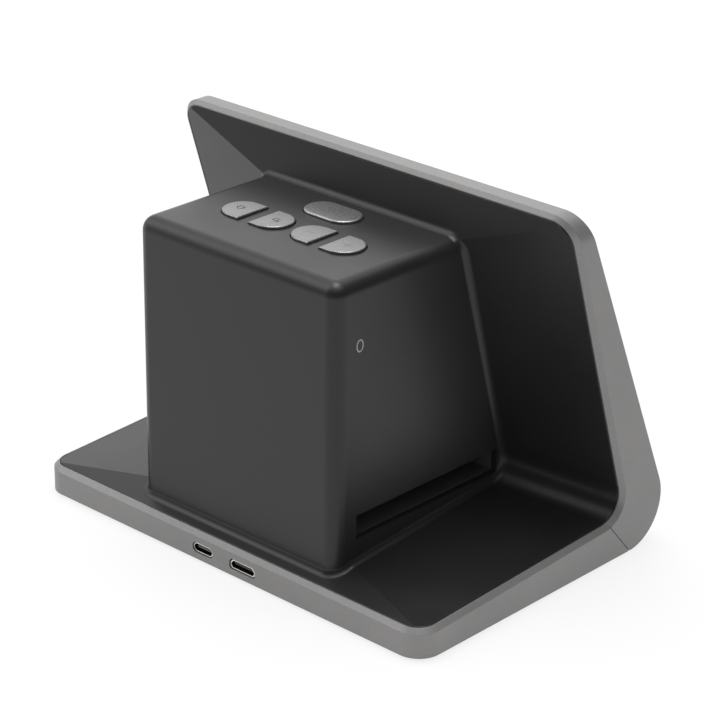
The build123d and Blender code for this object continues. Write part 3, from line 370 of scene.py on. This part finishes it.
def tower(name, inset, bottom, front_low, front_high):
    """Block of the tower, smaller by a wall, with its rear uprights and top edges rounded."""
    shape = bmesh.new()
    half = tower_half - inset
    rear, high = tower_rear + inset, tower_top - inset
    ring_of = ((rear, bottom), (front_low, bottom), (front_high, high), (rear, high))
    left = [shape.verts.new(place(half, *point)) for point in ring_of]
    right = [shape.verts.new(place(-half, *point)) for point in ring_of]
    shape.faces.new(left)
    shape.faces.new(list(reversed(right)))
    for index in range(4):
        after = (index + 1) % 4
        shape.faces.new((left[index], left[after], right[after], right[index]))
    bmesh.ops.recalc_face_normals(shape, faces=shape.faces)
    top_pairs = ({left[2], left[3]}, {left[3], right[3]}, {right[2], right[3]})
    upright_pairs = ({left[0], left[3]}, {right[0], right[3]})
    round_edges = [
        edge for edge in shape.edges if set(edge.verts) in top_pairs + upright_pairs
    ]
    bmesh.ops.bevel(
        shape,
        geom=round_edges,
        offset=(tower_edge_radius - inset) * MM,
        segments=8,
        profile=0.5,
        affect="EDGES",
    )
    piece = finish_mesh(name, shape)
    add_tags(piece, REGIONS)
    return piece


def plan_outline():
    """Outline of the cover seen from above, with rounded rear corners."""
    radius = rear_corner_radius - cover_inset
    low = cover_inset + radius
    side = cover_half - radius
    points = arc((side, low), radius, 0, -90, 8) + arc((-side, low), radius, -90, -180, 8)
    return points + [(-cover_half, depth), (cover_half, depth)]


def rear_outline():
    """Outline of the cover seen from behind, with rounded top corners."""
    radius = top_corner_radius - cover_inset
    high = frame_height - cover_inset - radius
    side = cover_half - radius
    points = arc((side, high), radius, 0, 90, 8) + arc((-side, high), radius, 90, 180, 8)
    return points + [(-cover_half, -depth), (cover_half, -depth)]


def along_height(across, forward, level):
    return place(across, forward, level)


def along_forward(across, height, level):
    return place(across, level, height)


def along_across(forward, height, level):
    return place(level, forward, height)


def tagged_prism(name, outline, start, end, to_place, tag):
    """Prism whose faces all carry one region's number."""
    piece = prism(name, outline, start, end, to_place, tag)
    add_tags(piece, REGIONS)
    return piece


def bevel_edges(piece, wanted, offset, steps):
    """Round the edges between two given sets of regions."""
    shape = bmesh.new()
    shape.from_mesh(piece.data)
    bmesh.ops.dissolve_degenerate(shape, dist=MM / 200, edges=shape.edges)
    chosen = []
    for edge in shape.edges:
        if len(edge.link_faces) == 2:
            tags = {side.material_index for side in edge.link_faces}
            if wanted(tags):
                chosen.append(edge)
    bmesh.ops.bevel(
        shape,
        geom=chosen,
        offset=offset * MM,
        segments=steps,
        profile=0.5,
        affect="EDGES",
        clamp_overlap=False,
        loop_slide=True,
        material=-1,
    )
    shape.to_mesh(piece.data)
    shape.free()


def slot_outline(centre_across, centre_forward, length, breadth, grow):
    """Oblong with round ends, grown all round."""
    radius = breadth / 2 + grow
    side = (length - breadth) / 2
    right = arc((centre_across + side, centre_forward), radius, -90, 90, 16)
    left = arc((centre_across - side, centre_forward), radius, 90, 270, 16)
    return right + left


def half_outline(centre, direction, grow):
    """Half of a rounded pair of buttons, cut flat beside the pair's middle."""
    radius = pair_width / 2 + grow
    flat = centre + direction * (pair_gap / 2 - grow)
    round_centre = centre + direction * (pair_length - pair_width) / 2
    points = arc((round_centre, pair_forward), radius, -90, 90, 18)
    if direction < 0:
        points = [(2 * round_centre - across, forward) for across, forward in reversed(points)]
    return points + [(flat, points[-1][1]), (flat, points[0][1])]


def button_outlines(grow):
    """Outlines of the five buttons by name."""
    return {
        "home_button": half_outline(pair_centre, 1, grow),
        "back_button": half_outline(pair_centre, -1, grow),
        "minus_button": half_outline(-pair_centre, 1, grow),
        "plus_button": half_outline(-pair_centre, -1, grow),
        "scan_button": slot_outline(0, scan_forward, scan_length, scan_width, grow),
    }


def film_mark(name, start, end, steps=48):
    """Narrow upright ring in the tower's side, between two levels across."""
    shape = bmesh.new()
    loops = []
    outer = mark_diameter / 2
    inner = outer - mark_stroke
    for radius, level in ((outer, start), (outer, end), (inner, end), (inner, start)):
        narrow = radius - outer + outer * mark_narrowing
        loop = []
        for across, up in arc((0, 0), 1, 0, 360, steps)[:-1]:
            point = (mark_forward + narrow * across, mark_height + radius * up)
            loop.append(shape.verts.new(along_across(*point, level)))
        loops.append(loop)
    for loop, after in zip(loops, loops[1:] + loops[:1]):
        for index in range(steps):
            beyond = (index + 1) % steps
            shape.faces.new((loop[index], loop[beyond], after[beyond], after[index]))
    for made in shape.faces:
        made.material_index = CUTS
    piece = finish_mesh(name, shape)
    add_tags(piece, REGIONS)
    return piece


def round_openings(piece):
    """Break the sharp edges of the film slot and the button holes."""
    shape = bmesh.new()
    shape.from_mesh(piece.data)
    chosen = []
    top = place(0, 0, tower_top).z
    for edge in shape.edges:
        if len(edge.link_faces) != 2:
            continue
        if {side.material_index for side in edge.link_faces} != {TOWER, CUTS}:
            continue
        ends = [vert.co for vert in edge.verts]
        beside = all(abs(abs(end.x) - tower_half * MM) < MM / 50 for end in ends)
        in_slot = all(end.z < place(0, 0, slot_low + 2 * slot_height).z for end in ends)
        above = all(abs(end.z - top) < MM / 50 for end in ends)
        if (beside and in_slot) or above:
            chosen.append(edge)
    bmesh.ops.bevel(
        shape,
        geom=chosen,
        offset=opening_round * MM,
        segments=2,
        profile=0.5,
        affect="EDGES",
        clamp_overlap=True,
        loop_slide=True,
        material=-1,
    )
    shape.to_mesh(piece.data)
    shape.free()


def shade(piece, angle=32.0, crisp=()):
    """Smooth shading with crisp edges past an angle or between the given regions."""
    mesh = piece.data
    shape = bmesh.new()
    shape.from_mesh(mesh)
    for made in shape.faces:
        made.smooth = True
    for edge in shape.edges:
        if len(edge.link_faces) != 2:
            edge.smooth = False
            continue
        tags = {side.material_index for side in edge.link_faces}
        bent = edge.calc_face_angle(0.0)
        crease = len(tags) == 2 and tags <= set(crisp) and bent > radians(3)
        edge.smooth = not (bent > radians(angle) or crease)
    shape.to_mesh(mesh)
    shape.free()
    weigh = piece.modifiers.new("normals", "WEIGHTED_NORMAL")
    weigh.keep_sharp = True
    weigh.mode = "FACE_AREA"


def make_cover():
    """The whole black cover, ready for its material."""
    slope_tags = {SIDES, REAR_FACET, TOP_FACET}
    cover = slopes("rear_cover_shell", 0.0, slab_thickness)
    plan = tagged_prism("plan", plan_outline(), -2 * depth, 2 * depth, along_height, RIM)
    rear = tagged_prism("rear", rear_outline(), -depth, 2 * depth, along_forward, RIM)
    cut(cover, plan, "INTERSECT")
    cut(cover, rear, "INTERSECT")
    front_low = seam_corner_forward + 2 * cover_wall
    front_high = back_ridge_forward + 3 * cover_wall
    tower_foot = seam_height - cover_wall / 2
    cut(cover, tower("tower", 0.0, tower_foot, front_low, front_high), "UNION")
    bevel_edges(cover, lambda tags: TOWER in tags and bool(tags & slope_tags), foot_fillet, 8)
    bevel_edges(cover, lambda tags: RIM in tags and bool(tags & slope_tags), rim_round, 3)
    cut(cover, slopes("inner", cover_wall, hollow_thickness), "DIFFERENCE")
    inside = tower("inside", tower_wall, -depth, 2 * depth, depth)
    for made in inside.data.polygons:
        made.material_index = CUTS
    cut(cover, inside, "DIFFERENCE")
    slot_points = [
        (slot_rear, slot_low),
        (slot_front, slot_low),
        (slot_front, slot_low + slot_height),
        (slot_rear, slot_low + slot_height),
    ]
    slot = tagged_prism("slot", slot_points, -width, width, along_across, CUTS)
    cut(cover, slot, "DIFFERENCE")
    low, high = tower_top - hole_reach, tower_top + hole_reach
    for name, outline in button_outlines(cap_clearance).items():
        hole = tagged_prism(name, outline, low, high, along_height, CUTS)
        cut(cover, hole, "DIFFERENCE")
    cut(cover, film_mark("mark", -tower_half - 1, -tower_half + mark_depth), "DIFFERENCE")
    round_openings(cover)
    shade(cover, crisp=(SIDES, REAR_FACET, TOP_FACET))
    cover.data.materials.clear()
    for made in cover.data.polygons:
        made.material_index = 0
    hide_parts("rear_cover")
    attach(cover, "housing")
    return cover


def make_film_mark():
    """Light ring let into the tower beside the film slot."""
    mark = film_mark("film_mark", -tower_half, -tower_half + mark_depth)
    mark.data.materials.clear()
    for made in mark.data.polygons:
        made.material_index = 0
    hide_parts("gate_mark")
    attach(mark, "housing")
    return mark


def stroke_outline(start, end):
    """Outline of one stroke of a button's picture, with round ends."""
    (ax, ay), (bx, by) = start, end
    heading = degrees(atan2(by - ay, bx - ax))
    radius = picture_stroke / 2
    far = arc(end, radius, heading - 90, heading + 90, 6)
    near = arc(start, radius, heading + 90, heading + 270, 6)
    return far + near


def dots(start, end, count):
    """Evenly spaced dots, as strokes without length."""
    return [(between(start, end, step / (count - 1)),) * 2 for step in range(count)]


def chain(points):
    """Strokes that join points in turn."""
    return list(zip(points, points[1:]))


def button_pictures():
    """Strokes of the five plain pictures, around their own middles, by button."""
    house = [(-1.5, -0.1), (0.0, 1.3), (1.5, -0.1)]
    walls = [(-1.0, 0.2), (-1.0, -1.3), (1.0, -1.3), (1.0, 0.2)]
    hook = [(-0.4, 1.3), (-1.4, 0.5), (-0.4, -0.3)]
    bend = [(-1.3, 0.5), (1.3, 0.5), (1.3, -1.2), (-0.7, -1.2)]
    frame_dots = []
    for level in (-1.9, 1.9):
        frame_dots += dots((-3.2, level), (3.2, level), 9)
    for side in (-3.2, 3.2):
        frame_dots += dots((side, -1.1), (side, 1.1), 4)
    hills = dots((-2.4, -1.1), (-0.6, 0.8), 4) + dots((-0.1, 0.2), (0.7, -0.6), 2)
    hills += dots((0.9, -0.3), (1.6, 0.5), 2) + dots((2.0, 0.0), (2.6, -1.1), 3)
    return {
        "home_button": chain(house) + chain(walls),
        "back_button": chain(hook) + chain(bend),
        "minus_button": dots((-1.5, 0.0), (1.5, 0.0), 5),
        "plus_button": dots((-1.6, 0.0), (1.6, 0.0), 5) + dots((0.0, -1.6), (0.0, 1.6), 5),
        "scan_button": frame_dots + hills,
    }


def button_middles():
    """Place of each picture on its button, across and forward."""
    reach = (pair_gap / 2 + pair_length / 2) / 2
    return {
        "home_button": (pair_centre + reach, pair_forward),
        "back_button": (pair_centre - reach, pair_forward),
        "minus_button": (-pair_centre + reach, pair_forward),
        "plus_button": (-pair_centre - reach, pair_forward),
        "scan_button": (0.0, scan_forward),
    }


def make_picture(button, strokes, middle):
    """Shallow dark strokes of one button's picture, joined into one piece."""
    level = tower_top + cap_rise
    shape = bmesh.new()
    for start, end in strokes:
        outline = stroke_outline(start, end)
        low = []
        high = []
        for across, up in outline:
            point = (middle[0] + across, middle[1] - up)
            low.append(shape.verts.new(place(*point, level - picture_rise)))
            high.append(shape.verts.new(place(*point, level + picture_rise)))
        shape.faces.new(low)
        shape.faces.new(list(reversed(high)))
        for index in range(len(outline)):
            after = (index + 1) % len(outline)
            shape.faces.new((low[index], high[index], high[after], low[after]))
    picture = finish_mesh(button + "_picture", shape)
    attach(picture, button)
    return picture


cover = make_cover()
film_ring = make_film_mark()
middles = button_middles()
pictures = [
    make_picture(button, strokes, middles[button]) for button, strokes in button_pictures().items()
]

# ---------------------------------------------------------------------------
# Materials
# ---------------------------------------------------------------------------


def new_material(name, roughness, metallic=0.0, specular=0.5):
    """Material with its shader and the piece's own coordinates."""
    material = bpy.data.materials.new(name)
    material.use_nodes = True
    tree = material.node_tree
    shader = tree.nodes["Principled BSDF"]
    shader.inputs["Metallic"].default_value = metallic
    shader.inputs["Roughness"].default_value = roughness
    shader.inputs["Specular IOR Level"].default_value = specular
    coordinates = tree.nodes.new("ShaderNodeTexCoord").outputs["Object"]
    return material, tree, shader, coordinates


def noise(tree, vector, scale, detail=2.0, roughness=0.5):
    """Noise texture whose scale is in cells per metre."""
    texture = tree.nodes.new("ShaderNodeTexNoise")
    texture.inputs["Scale"].default_value = scale
    texture.inputs["Detail"].default_value = detail
    texture.inputs["Roughness"].default_value = roughness
    tree.links.new(vector, texture.inputs["Vector"])
    return texture.outputs["Fac"]


def ramp(tree, value, low, high, start=0.3, end=0.7):
    """Colour between two colours as a value goes from start to end."""
    blend = tree.nodes.new("ShaderNodeValToRGB")
    blend.color_ramp.elements[0].position = start
    blend.color_ramp.elements[1].position = end
    blend.color_ramp.elements[0].color = (*low, 1)
    blend.color_ramp.elements[1].color = (*high, 1)
    tree.links.new(value, blend.inputs["Fac"])
    return blend.outputs["Color"]


def spread(tree, value, low, high, start=0.3, end=0.7):
    """Number between two limits as a value goes from start to end."""
    mapped = tree.nodes.new("ShaderNodeMapRange")
    mapped.inputs["From Min"].default_value = start
    mapped.inputs["From Max"].default_value = end
    mapped.inputs["To Min"].default_value = low
    mapped.inputs["To Max"].default_value = high
    tree.links.new(value, mapped.inputs["Value"])
    return mapped.outputs["Result"]


def bump(tree, height, depth_mm, strength, normal=None):
    """Relief from a height, over an earlier normal."""
    relief = tree.nodes.new("ShaderNodeBump")
    relief.inputs["Strength"].default_value = strength
    relief.inputs["Distance"].default_value = depth_mm * MM
    tree.links.new(height, relief.inputs["Height"])
    if normal is not None:
        tree.links.new(normal, relief.inputs["Normal"])
    return relief.outputs["Normal"]


def scaled(colour, factor):
    return tuple(min(1.0, part * factor) for part in colour)


def moulded(name, colour, roughness, grain=0.35, relief=0.25, change=0.06, **rest):
    """Moulded plastic: spark-eroded grain and faint patches."""
    material, tree, shader, place_of = new_material(name, roughness, **rest)
    patches = noise(tree, place_of, 35.0, detail=4.0)
    speckle = noise(tree, place_of, 1 / (grain * MM), detail=2.0)
    base = ramp(tree, patches, scaled(colour, 1 - change), scaled(colour, 1 + change))
    tree.links.new(base, shader.inputs["Base Color"])
    shine = spread(tree, patches, roughness * 0.93, roughness * 1.07)
    tree.links.new(shine, shader.inputs["Roughness"])
    tree.links.new(bump(tree, speckle, 0.02, relief), shader.inputs["Normal"])
    return material


def painted(name, colour, roughness, metallic, flake=0.12, edge=0.2, **rest):
    """Satin metallic paint: fine flakes of differing brightness in a grey ground."""
    material, tree, shader, place_of = new_material(name, roughness, metallic=metallic, **rest)
    cells = tree.nodes.new("ShaderNodeTexVoronoi")
    cells.inputs["Scale"].default_value = 1 / (0.22 * MM)
    tree.links.new(place_of, cells.inputs["Vector"])
    parts = tree.nodes.new("ShaderNodeSeparateColor")
    tree.links.new(cells.outputs["Color"], parts.inputs["Color"])
    patches = noise(tree, place_of, 30.0, detail=3.0)
    ground = ramp(tree, patches, scaled(colour, 0.96), scaled(colour, 1.04))
    glint = ramp(
        tree, parts.outputs["Red"], scaled((1, 1, 1), 1 - flake), (1, 1, 1), start=0.0, end=1.0
    )
    mixed = tree.nodes.new("ShaderNodeMix")
    mixed.data_type = "RGBA"
    mixed.blend_type = "MULTIPLY"
    mixed.inputs["Factor"].default_value = 1.0
    tree.links.new(ground, mixed.inputs["A"])
    tree.links.new(glint, mixed.inputs["B"])
    tree.links.new(mixed.outputs["Result"], shader.inputs["Base Color"])
    shine = spread(tree, parts.outputs["Green"], roughness * 0.85, roughness * 1.15, 0.0, 1.0)
    tree.links.new(shine, shader.inputs["Roughness"])
    soft = tree.nodes.new("ShaderNodeBevel")
    soft.inputs["Radius"].default_value = edge * MM
    soft.samples = 4
    orange_peel = noise(tree, place_of, 1 / (0.6 * MM), detail=1.0)
    normal = bump(tree, orange_peel, 0.01, 0.25, soft.outputs["Normal"])
    tree.links.new(normal, shader.inputs["Normal"])
    return material


def brushed(name, colour, roughness, stretch=(1.0, 12.0, 12.0), metallic=1.0):
    """Metal sheet with fine marks along its length."""
    material, tree, shader, place_of = new_material(name, roughness, metallic=metallic)
    mapping = tree.nodes.new("ShaderNodeMapping")
    mapping.inputs["Scale"].default_value = stretch
    tree.links.new(place_of, mapping.inputs["Vector"])
    marks = noise(tree, mapping.outputs["Vector"], 700.0, detail=4.0)
    tree.links.new(
        ramp(tree, marks, scaled(colour, 0.9), scaled(colour, 1.08)), shader.inputs["Base Color"]
    )
    tree.links.new(
        spread(tree, marks, roughness * 0.75, roughness * 1.25), shader.inputs["Roughness"]
    )
    tree.links.new(bump(tree, marks, 0.01, 0.2), shader.inputs["Normal"])
    return material


def circuit(name, colour, copper):
    """Circuit board: mask over straight tracks."""
    material, tree, shader, place_of = new_material(name, 0.4)
    tracks = tree.nodes.new("ShaderNodeTexBrick")
    tracks.inputs["Scale"].default_value = 300.0
    tracks.inputs["Mortar Size"].default_value = 0.03
    tracks.inputs["Color1"].default_value = (*colour, 1)
    tracks.inputs["Color2"].default_value = (*scaled(colour, 0.85), 1)
    tracks.inputs["Mortar"].default_value = (*copper, 1)
    tree.links.new(place_of, tracks.inputs["Vector"])
    tree.links.new(tracks.outputs["Color"], shader.inputs["Base Color"])
    weave = noise(tree, place_of, 900.0)
    tree.links.new(bump(tree, weave, 0.01, 0.2), shader.inputs["Normal"])
    return material


def within(tree, place_of, limits):
    """1 inside the given limits in metres, as (axis, lowest, highest), and 0 outside."""
    split = tree.nodes.new("ShaderNodeSeparateXYZ")
    tree.links.new(place_of, split.inputs["Vector"])
    total = None
    for axis, lowest, highest in limits:
        for operation, limit in (("GREATER_THAN", lowest), ("LESS_THAN", highest)):
            test = tree.nodes.new("ShaderNodeMath")
            test.operation = operation
            tree.links.new(split.outputs[axis], test.inputs[0])
            test.inputs[1].default_value = limit
            if total is None:
                total = test.outputs["Value"]
                continue
            both = tree.nodes.new("ShaderNodeMath")
            both.operation = "MULTIPLY"
            tree.links.new(total, both.inputs[0])
            tree.links.new(test.outputs["Value"], both.inputs[1])
            total = both.outputs["Value"]
    return total


def mixed_colour(tree, share, first, second):
    """Second colour where the share is 1, first where it is 0."""
    blend = tree.nodes.new("ShaderNodeMix")
    blend.data_type = "RGBA"
    tree.links.new(share, blend.inputs["Factor"])
    for colour, name in ((first, "A"), (second, "B")):
        if isinstance(colour, tuple):
            blend.inputs[name].default_value = (*colour, 1)
        else:
            tree.links.new(colour, blend.inputs[name])
    return blend.outputs["Result"]


def socket(name, inside, tongue, tongue_limits):
    """Plated shell whose inside behind the lip is painted shade, near-black and not metallic,
    around a tongue of its own colour.
    """
    material, tree, shader, place_of = new_material(name, 0.3)
    marks = noise(tree, place_of, 900.0, detail=3.0)
    plated = ramp(tree, marks, (0.6, 0.6, 0.58), (0.72, 0.72, 0.7))
    # Painted shade: all of the socket deeper than its lip turns dark and loses its metal
    shade_behind_lip = within(tree, place_of, [socket_depth])
    tongue_at = within(tree, place_of, [socket_depth, *tongue_limits])
    colour = mixed_colour(tree, shade_behind_lip, plated, inside)
    tree.links.new(mixed_colour(tree, tongue_at, colour, tongue), shader.inputs["Base Color"])
    tree.links.new(spread(tree, shade_behind_lip, 1.0, 0.0, 0.0, 1.0), shader.inputs["Metallic"])
    return material


def screen(name, border, panel, low, high, half):
    """Black cover glass: a printed border round the slightly lighter dark display."""
    material, tree, shader, place_of = new_material(name, 0.05)
    shader.inputs["Coat Weight"].default_value = 0.3
    area = within(tree, place_of, [("X", -half, half), ("Z", low, high)])
    tree.links.new(mixed_colour(tree, area, border, panel), shader.inputs["Base Color"])
    smudge = noise(tree, place_of, 18.0, detail=5.0)
    tree.links.new(spread(tree, smudge, 0.03, 0.1), shader.inputs["Roughness"])
    return material


def clear(name, tint, roughness):
    """Polished lens glass with a faint coating."""
    material, tree, shader, place_of = new_material(name, roughness)
    shader.inputs["Transmission Weight"].default_value = 0.95
    shader.inputs["Coat Weight"].default_value = 0.5
    dust = noise(tree, place_of, 400.0, detail=3.0)
    tree.links.new(ramp(tree, dust, scaled(tint, 0.97), tint), shader.inputs["Base Color"])
    return material


materials = {
    "silver_frame": painted("silver_frame", (0.248, 0.243, 0.241), 0.42, 0.35),
    "black_cover": moulded("black_cover", (0.0152, 0.0151, 0.0162), 0.36, specular=0.42),
    "button_grey": painted("button_grey", (0.262, 0.26, 0.26), 0.3, 0.85),
    "scan_grey": painted("scan_grey", (0.33, 0.33, 0.33), 0.3, 0.85),
    "mark_grey": moulded("mark_grey", (0.3, 0.3, 0.3), 0.5, relief=0.1),
    "picture_grey": moulded("picture_grey", (0.05, 0.05, 0.05), 0.5, relief=0.1),
    "front_glass": screen(
        "front_glass", (0.003, 0.003, 0.0035), (0.008, 0.0085, 0.01), 0.03, 0.115, 0.076
    ),
    "lcd_panel": moulded("lcd_panel", (0.02, 0.02, 0.025), 0.2, relief=0.05),
    "bright_steel": brushed("bright_steel", (0.6, 0.6, 0.6), 0.3),
    "socket_metal": brushed("socket_metal", (0.68, 0.68, 0.68), 0.25),
    "screw_steel": brushed("screw_steel", (0.12, 0.12, 0.12), 0.35, stretch=(6.0, 6.0, 1.0)),
    "circuit_board": circuit("circuit_board", (0.02, 0.12, 0.05), (0.05, 0.2, 0.08)),
    "chip_black": moulded("chip_black", (0.02, 0.02, 0.02), 0.55, grain=0.15),
    "gate_black": moulded("gate_black", (0.05, 0.05, 0.052), 0.6),
    "light_white": moulded("light_white", (0.8, 0.8, 0.78), 0.45, change=0.02),
    "diffuser_white": moulded("diffuser_white", (0.85, 0.85, 0.83), 0.6, change=0.02),
    "lamp_white": moulded("lamp_white", (0.85, 0.8, 0.55), 0.3, change=0.04),
    "barrel_aluminium": brushed("barrel_aluminium", (0.04, 0.04, 0.04), 0.35, (1.0, 1.0, 30.0)),
    "lens_glass": clear("lens_glass", (0.95, 0.97, 1.0), 0.02),
    "ribbon_film": brushed("ribbon_film", (0.6, 0.36, 0.1), 0.25, (1.0, 30.0, 1.0), 0.0),
    "foot_rubber": moulded("foot_rubber", (0.02, 0.02, 0.02), 0.75, grain=0.5, relief=0.4),
}

for part in frame["record"]["subparts"]:
    piece = nodes[part["node"]]
    piece.data.materials.clear()
    piece.data.materials.append(materials[part["material_slot"]])
    for made in piece.data.polygons:
        made.material_index = 0
cover.data.materials.append(materials["black_cover"])
film_ring.data.materials.append(materials["mark_grey"])
for picture in pictures:
    picture.data.materials.append(materials["picture_grey"])

usb_left, usb_right = usb_across - usb_tongue_half, usb_across + usb_tongue_half
socket_middle = foot_height + socket_height
tongue_low, tongue_high = socket_middle - tongue_half_height, socket_middle + tongue_half_height
# The near-black inside colour is painted shade within the USB socket; the tongue colour is the
# tongue's own
nodes["usb_c_socket"].data.materials[0] = socket(
    "usb_c_socket",
    (0.004, 0.004, 0.004),
    (0.09, 0.09, 0.09),
    [("X", usb_left * MM, usb_right * MM), ("Z", tongue_low * MM, tongue_high * MM)],
)
# In the HDMI socket the tongue colour fills the whole inside: partly the dark insulator's own
# colour, partly painted shade
nodes["hdmi_socket"].data.materials[0] = socket(
    "hdmi_socket", (0.006, 0.0045, 0.003), (0.012, 0.009, 0.006), []
)

# ---------------------------------------------------------------------------
# Floor, background and lights
# ---------------------------------------------------------------------------
floor_size = 8.0
floor_glow = 0.8
ambient = 0.66
screen_radius = 2.2
screen_height = 1.9
screen_start = 47.0
screen_end = 265.0
screen_grey = 0.04
screen_gap = 0.02
screen_narrowing = 0.75


def seen_directly(tree):
    """1 for what the camera sees, straight, mirrored or through glass, and 0 for soft light."""
    rays = tree.nodes.new("ShaderNodeLightPath")
    total = None
    for kind in ("Is Camera Ray", "Is Glossy Ray", "Is Transmission Ray"):
        if total is None:
            total = rays.outputs[kind]
            continue
        node = tree.nodes.new("ShaderNodeMath")
        node.operation = "MAXIMUM"
        tree.links.new(total, node.inputs[0])
        tree.links.new(rays.outputs[kind], node.inputs[1])
        total = node.outputs["Value"]
    return total


def make_floor():
    """Plain pale floor that keeps a soft shadow under the object."""
    half = floor_size / 2
    mesh = bpy.data.meshes.new("floor")
    corners = [(-half, -half, 0), (half, -half, 0), (half, half, 0), (-half, half, 0)]
    mesh.from_pydata(corners, [], [(0, 1, 2, 3)])
    floor = new_object("floor", mesh)
    material = bpy.data.materials.new("floor_white")
    material.use_nodes = True
    tree = material.node_tree
    shader = tree.nodes["Principled BSDF"]
    shader.inputs["Roughness"].default_value = 0.9
    shader.inputs["Specular IOR Level"].default_value = 0.0
    coordinates = tree.nodes.new("ShaderNodeTexCoord").outputs["Object"]
    cloud = noise(tree, coordinates, 3.0)
    tree.links.new(
        ramp(tree, cloud, (0.9, 0.9, 0.9), (0.92, 0.92, 0.92)), shader.inputs["Base Color"]
    )
    glow = tree.nodes.new("ShaderNodeEmission")
    share = spread(tree, seen_directly(tree), 0.0, floor_glow, 0.0, 1.0)
    mixed = tree.nodes.new("ShaderNodeMixShader")
    tree.links.new(share, mixed.inputs["Fac"])
    tree.links.new(shader.outputs["BSDF"], mixed.inputs[1])
    tree.links.new(glow.outputs["Emission"], mixed.inputs[2])
    tree.links.new(mixed.outputs["Shader"], tree.nodes["Material Output"].inputs["Surface"])
    mesh.materials.append(material)


def make_dark_screen():
    """Dark curved screen just above the floor, seen only in reflections."""
    outline = arc((0, 0), screen_radius, screen_start, screen_end, 48)
    low = [(across, along, screen_gap) for across, along in outline]
    high = [
        (across * screen_narrowing, along * screen_narrowing, screen_height)
        for across, along in outline
    ]
    count = len(outline)
    faces = [(i, i + 1, count + i + 1, count + i) for i in range(count - 1)]
    mesh = bpy.data.meshes.new("dark_screen")
    mesh.from_pydata(low + high, [], faces)
    panel = new_object("dark_screen", mesh)
    material, tree, shader, place_of = new_material("dark_cloth", 1.0, specular=0.0)
    weave = noise(tree, place_of, 20.0)
    dark = (screen_grey,) * 3
    tree.links.new(ramp(tree, weave, dark, scaled(dark, 1.2)), shader.inputs["Base Color"])
    mesh.materials.append(material)
    panel.visible_camera = False
    panel.visible_shadow = False
    panel.visible_diffuse = False


def make_world():
    """White all round for what is seen, and softer for the light it gives."""
    world = bpy.data.worlds.new("studio")
    bpy.context.scene.world = world
    world.use_nodes = True
    tree = world.node_tree
    background = tree.nodes["Background"]
    background.inputs["Color"].default_value = (1, 1, 1, 1)
    strength = spread(tree, seen_directly(tree), ambient, 1.0, 0.0, 1.0)
    tree.links.new(strength, background.inputs["Strength"])


def softbox(name, spot, aim, size, power):
    """Square area light that points at a spot on the object."""
    data = bpy.data.lights.new(name, "AREA")
    data.shape = "RECTANGLE"
    data.size, data.size_y = size
    data.energy = power
    light = bpy.data.objects.new(name, data)
    direction = Vector(aim) - Vector(spot)
    light.matrix_world = (
        Matrix.Translation(spot) @ direction.to_track_quat("-Z", "Y").to_matrix().to_4x4()
    )
    bpy.context.scene.collection.objects.link(light)


make_floor()
make_dark_screen()
make_world()
centre = (0.0, 0.0, 0.06)
softbox("overhead", (0.1, -0.1, 1.3), centre, (0.7, 0.7), 9.0)
softbox("far_left", (1.1, -1.0, 0.8), centre, (1.0, 0.9), 1.5)
softbox("rear_left", (1.0, 0.65, 1.07), centre, (0.9, 0.9), 4.0)

bpy.context.scene.view_settings.view_transform = "Standard"
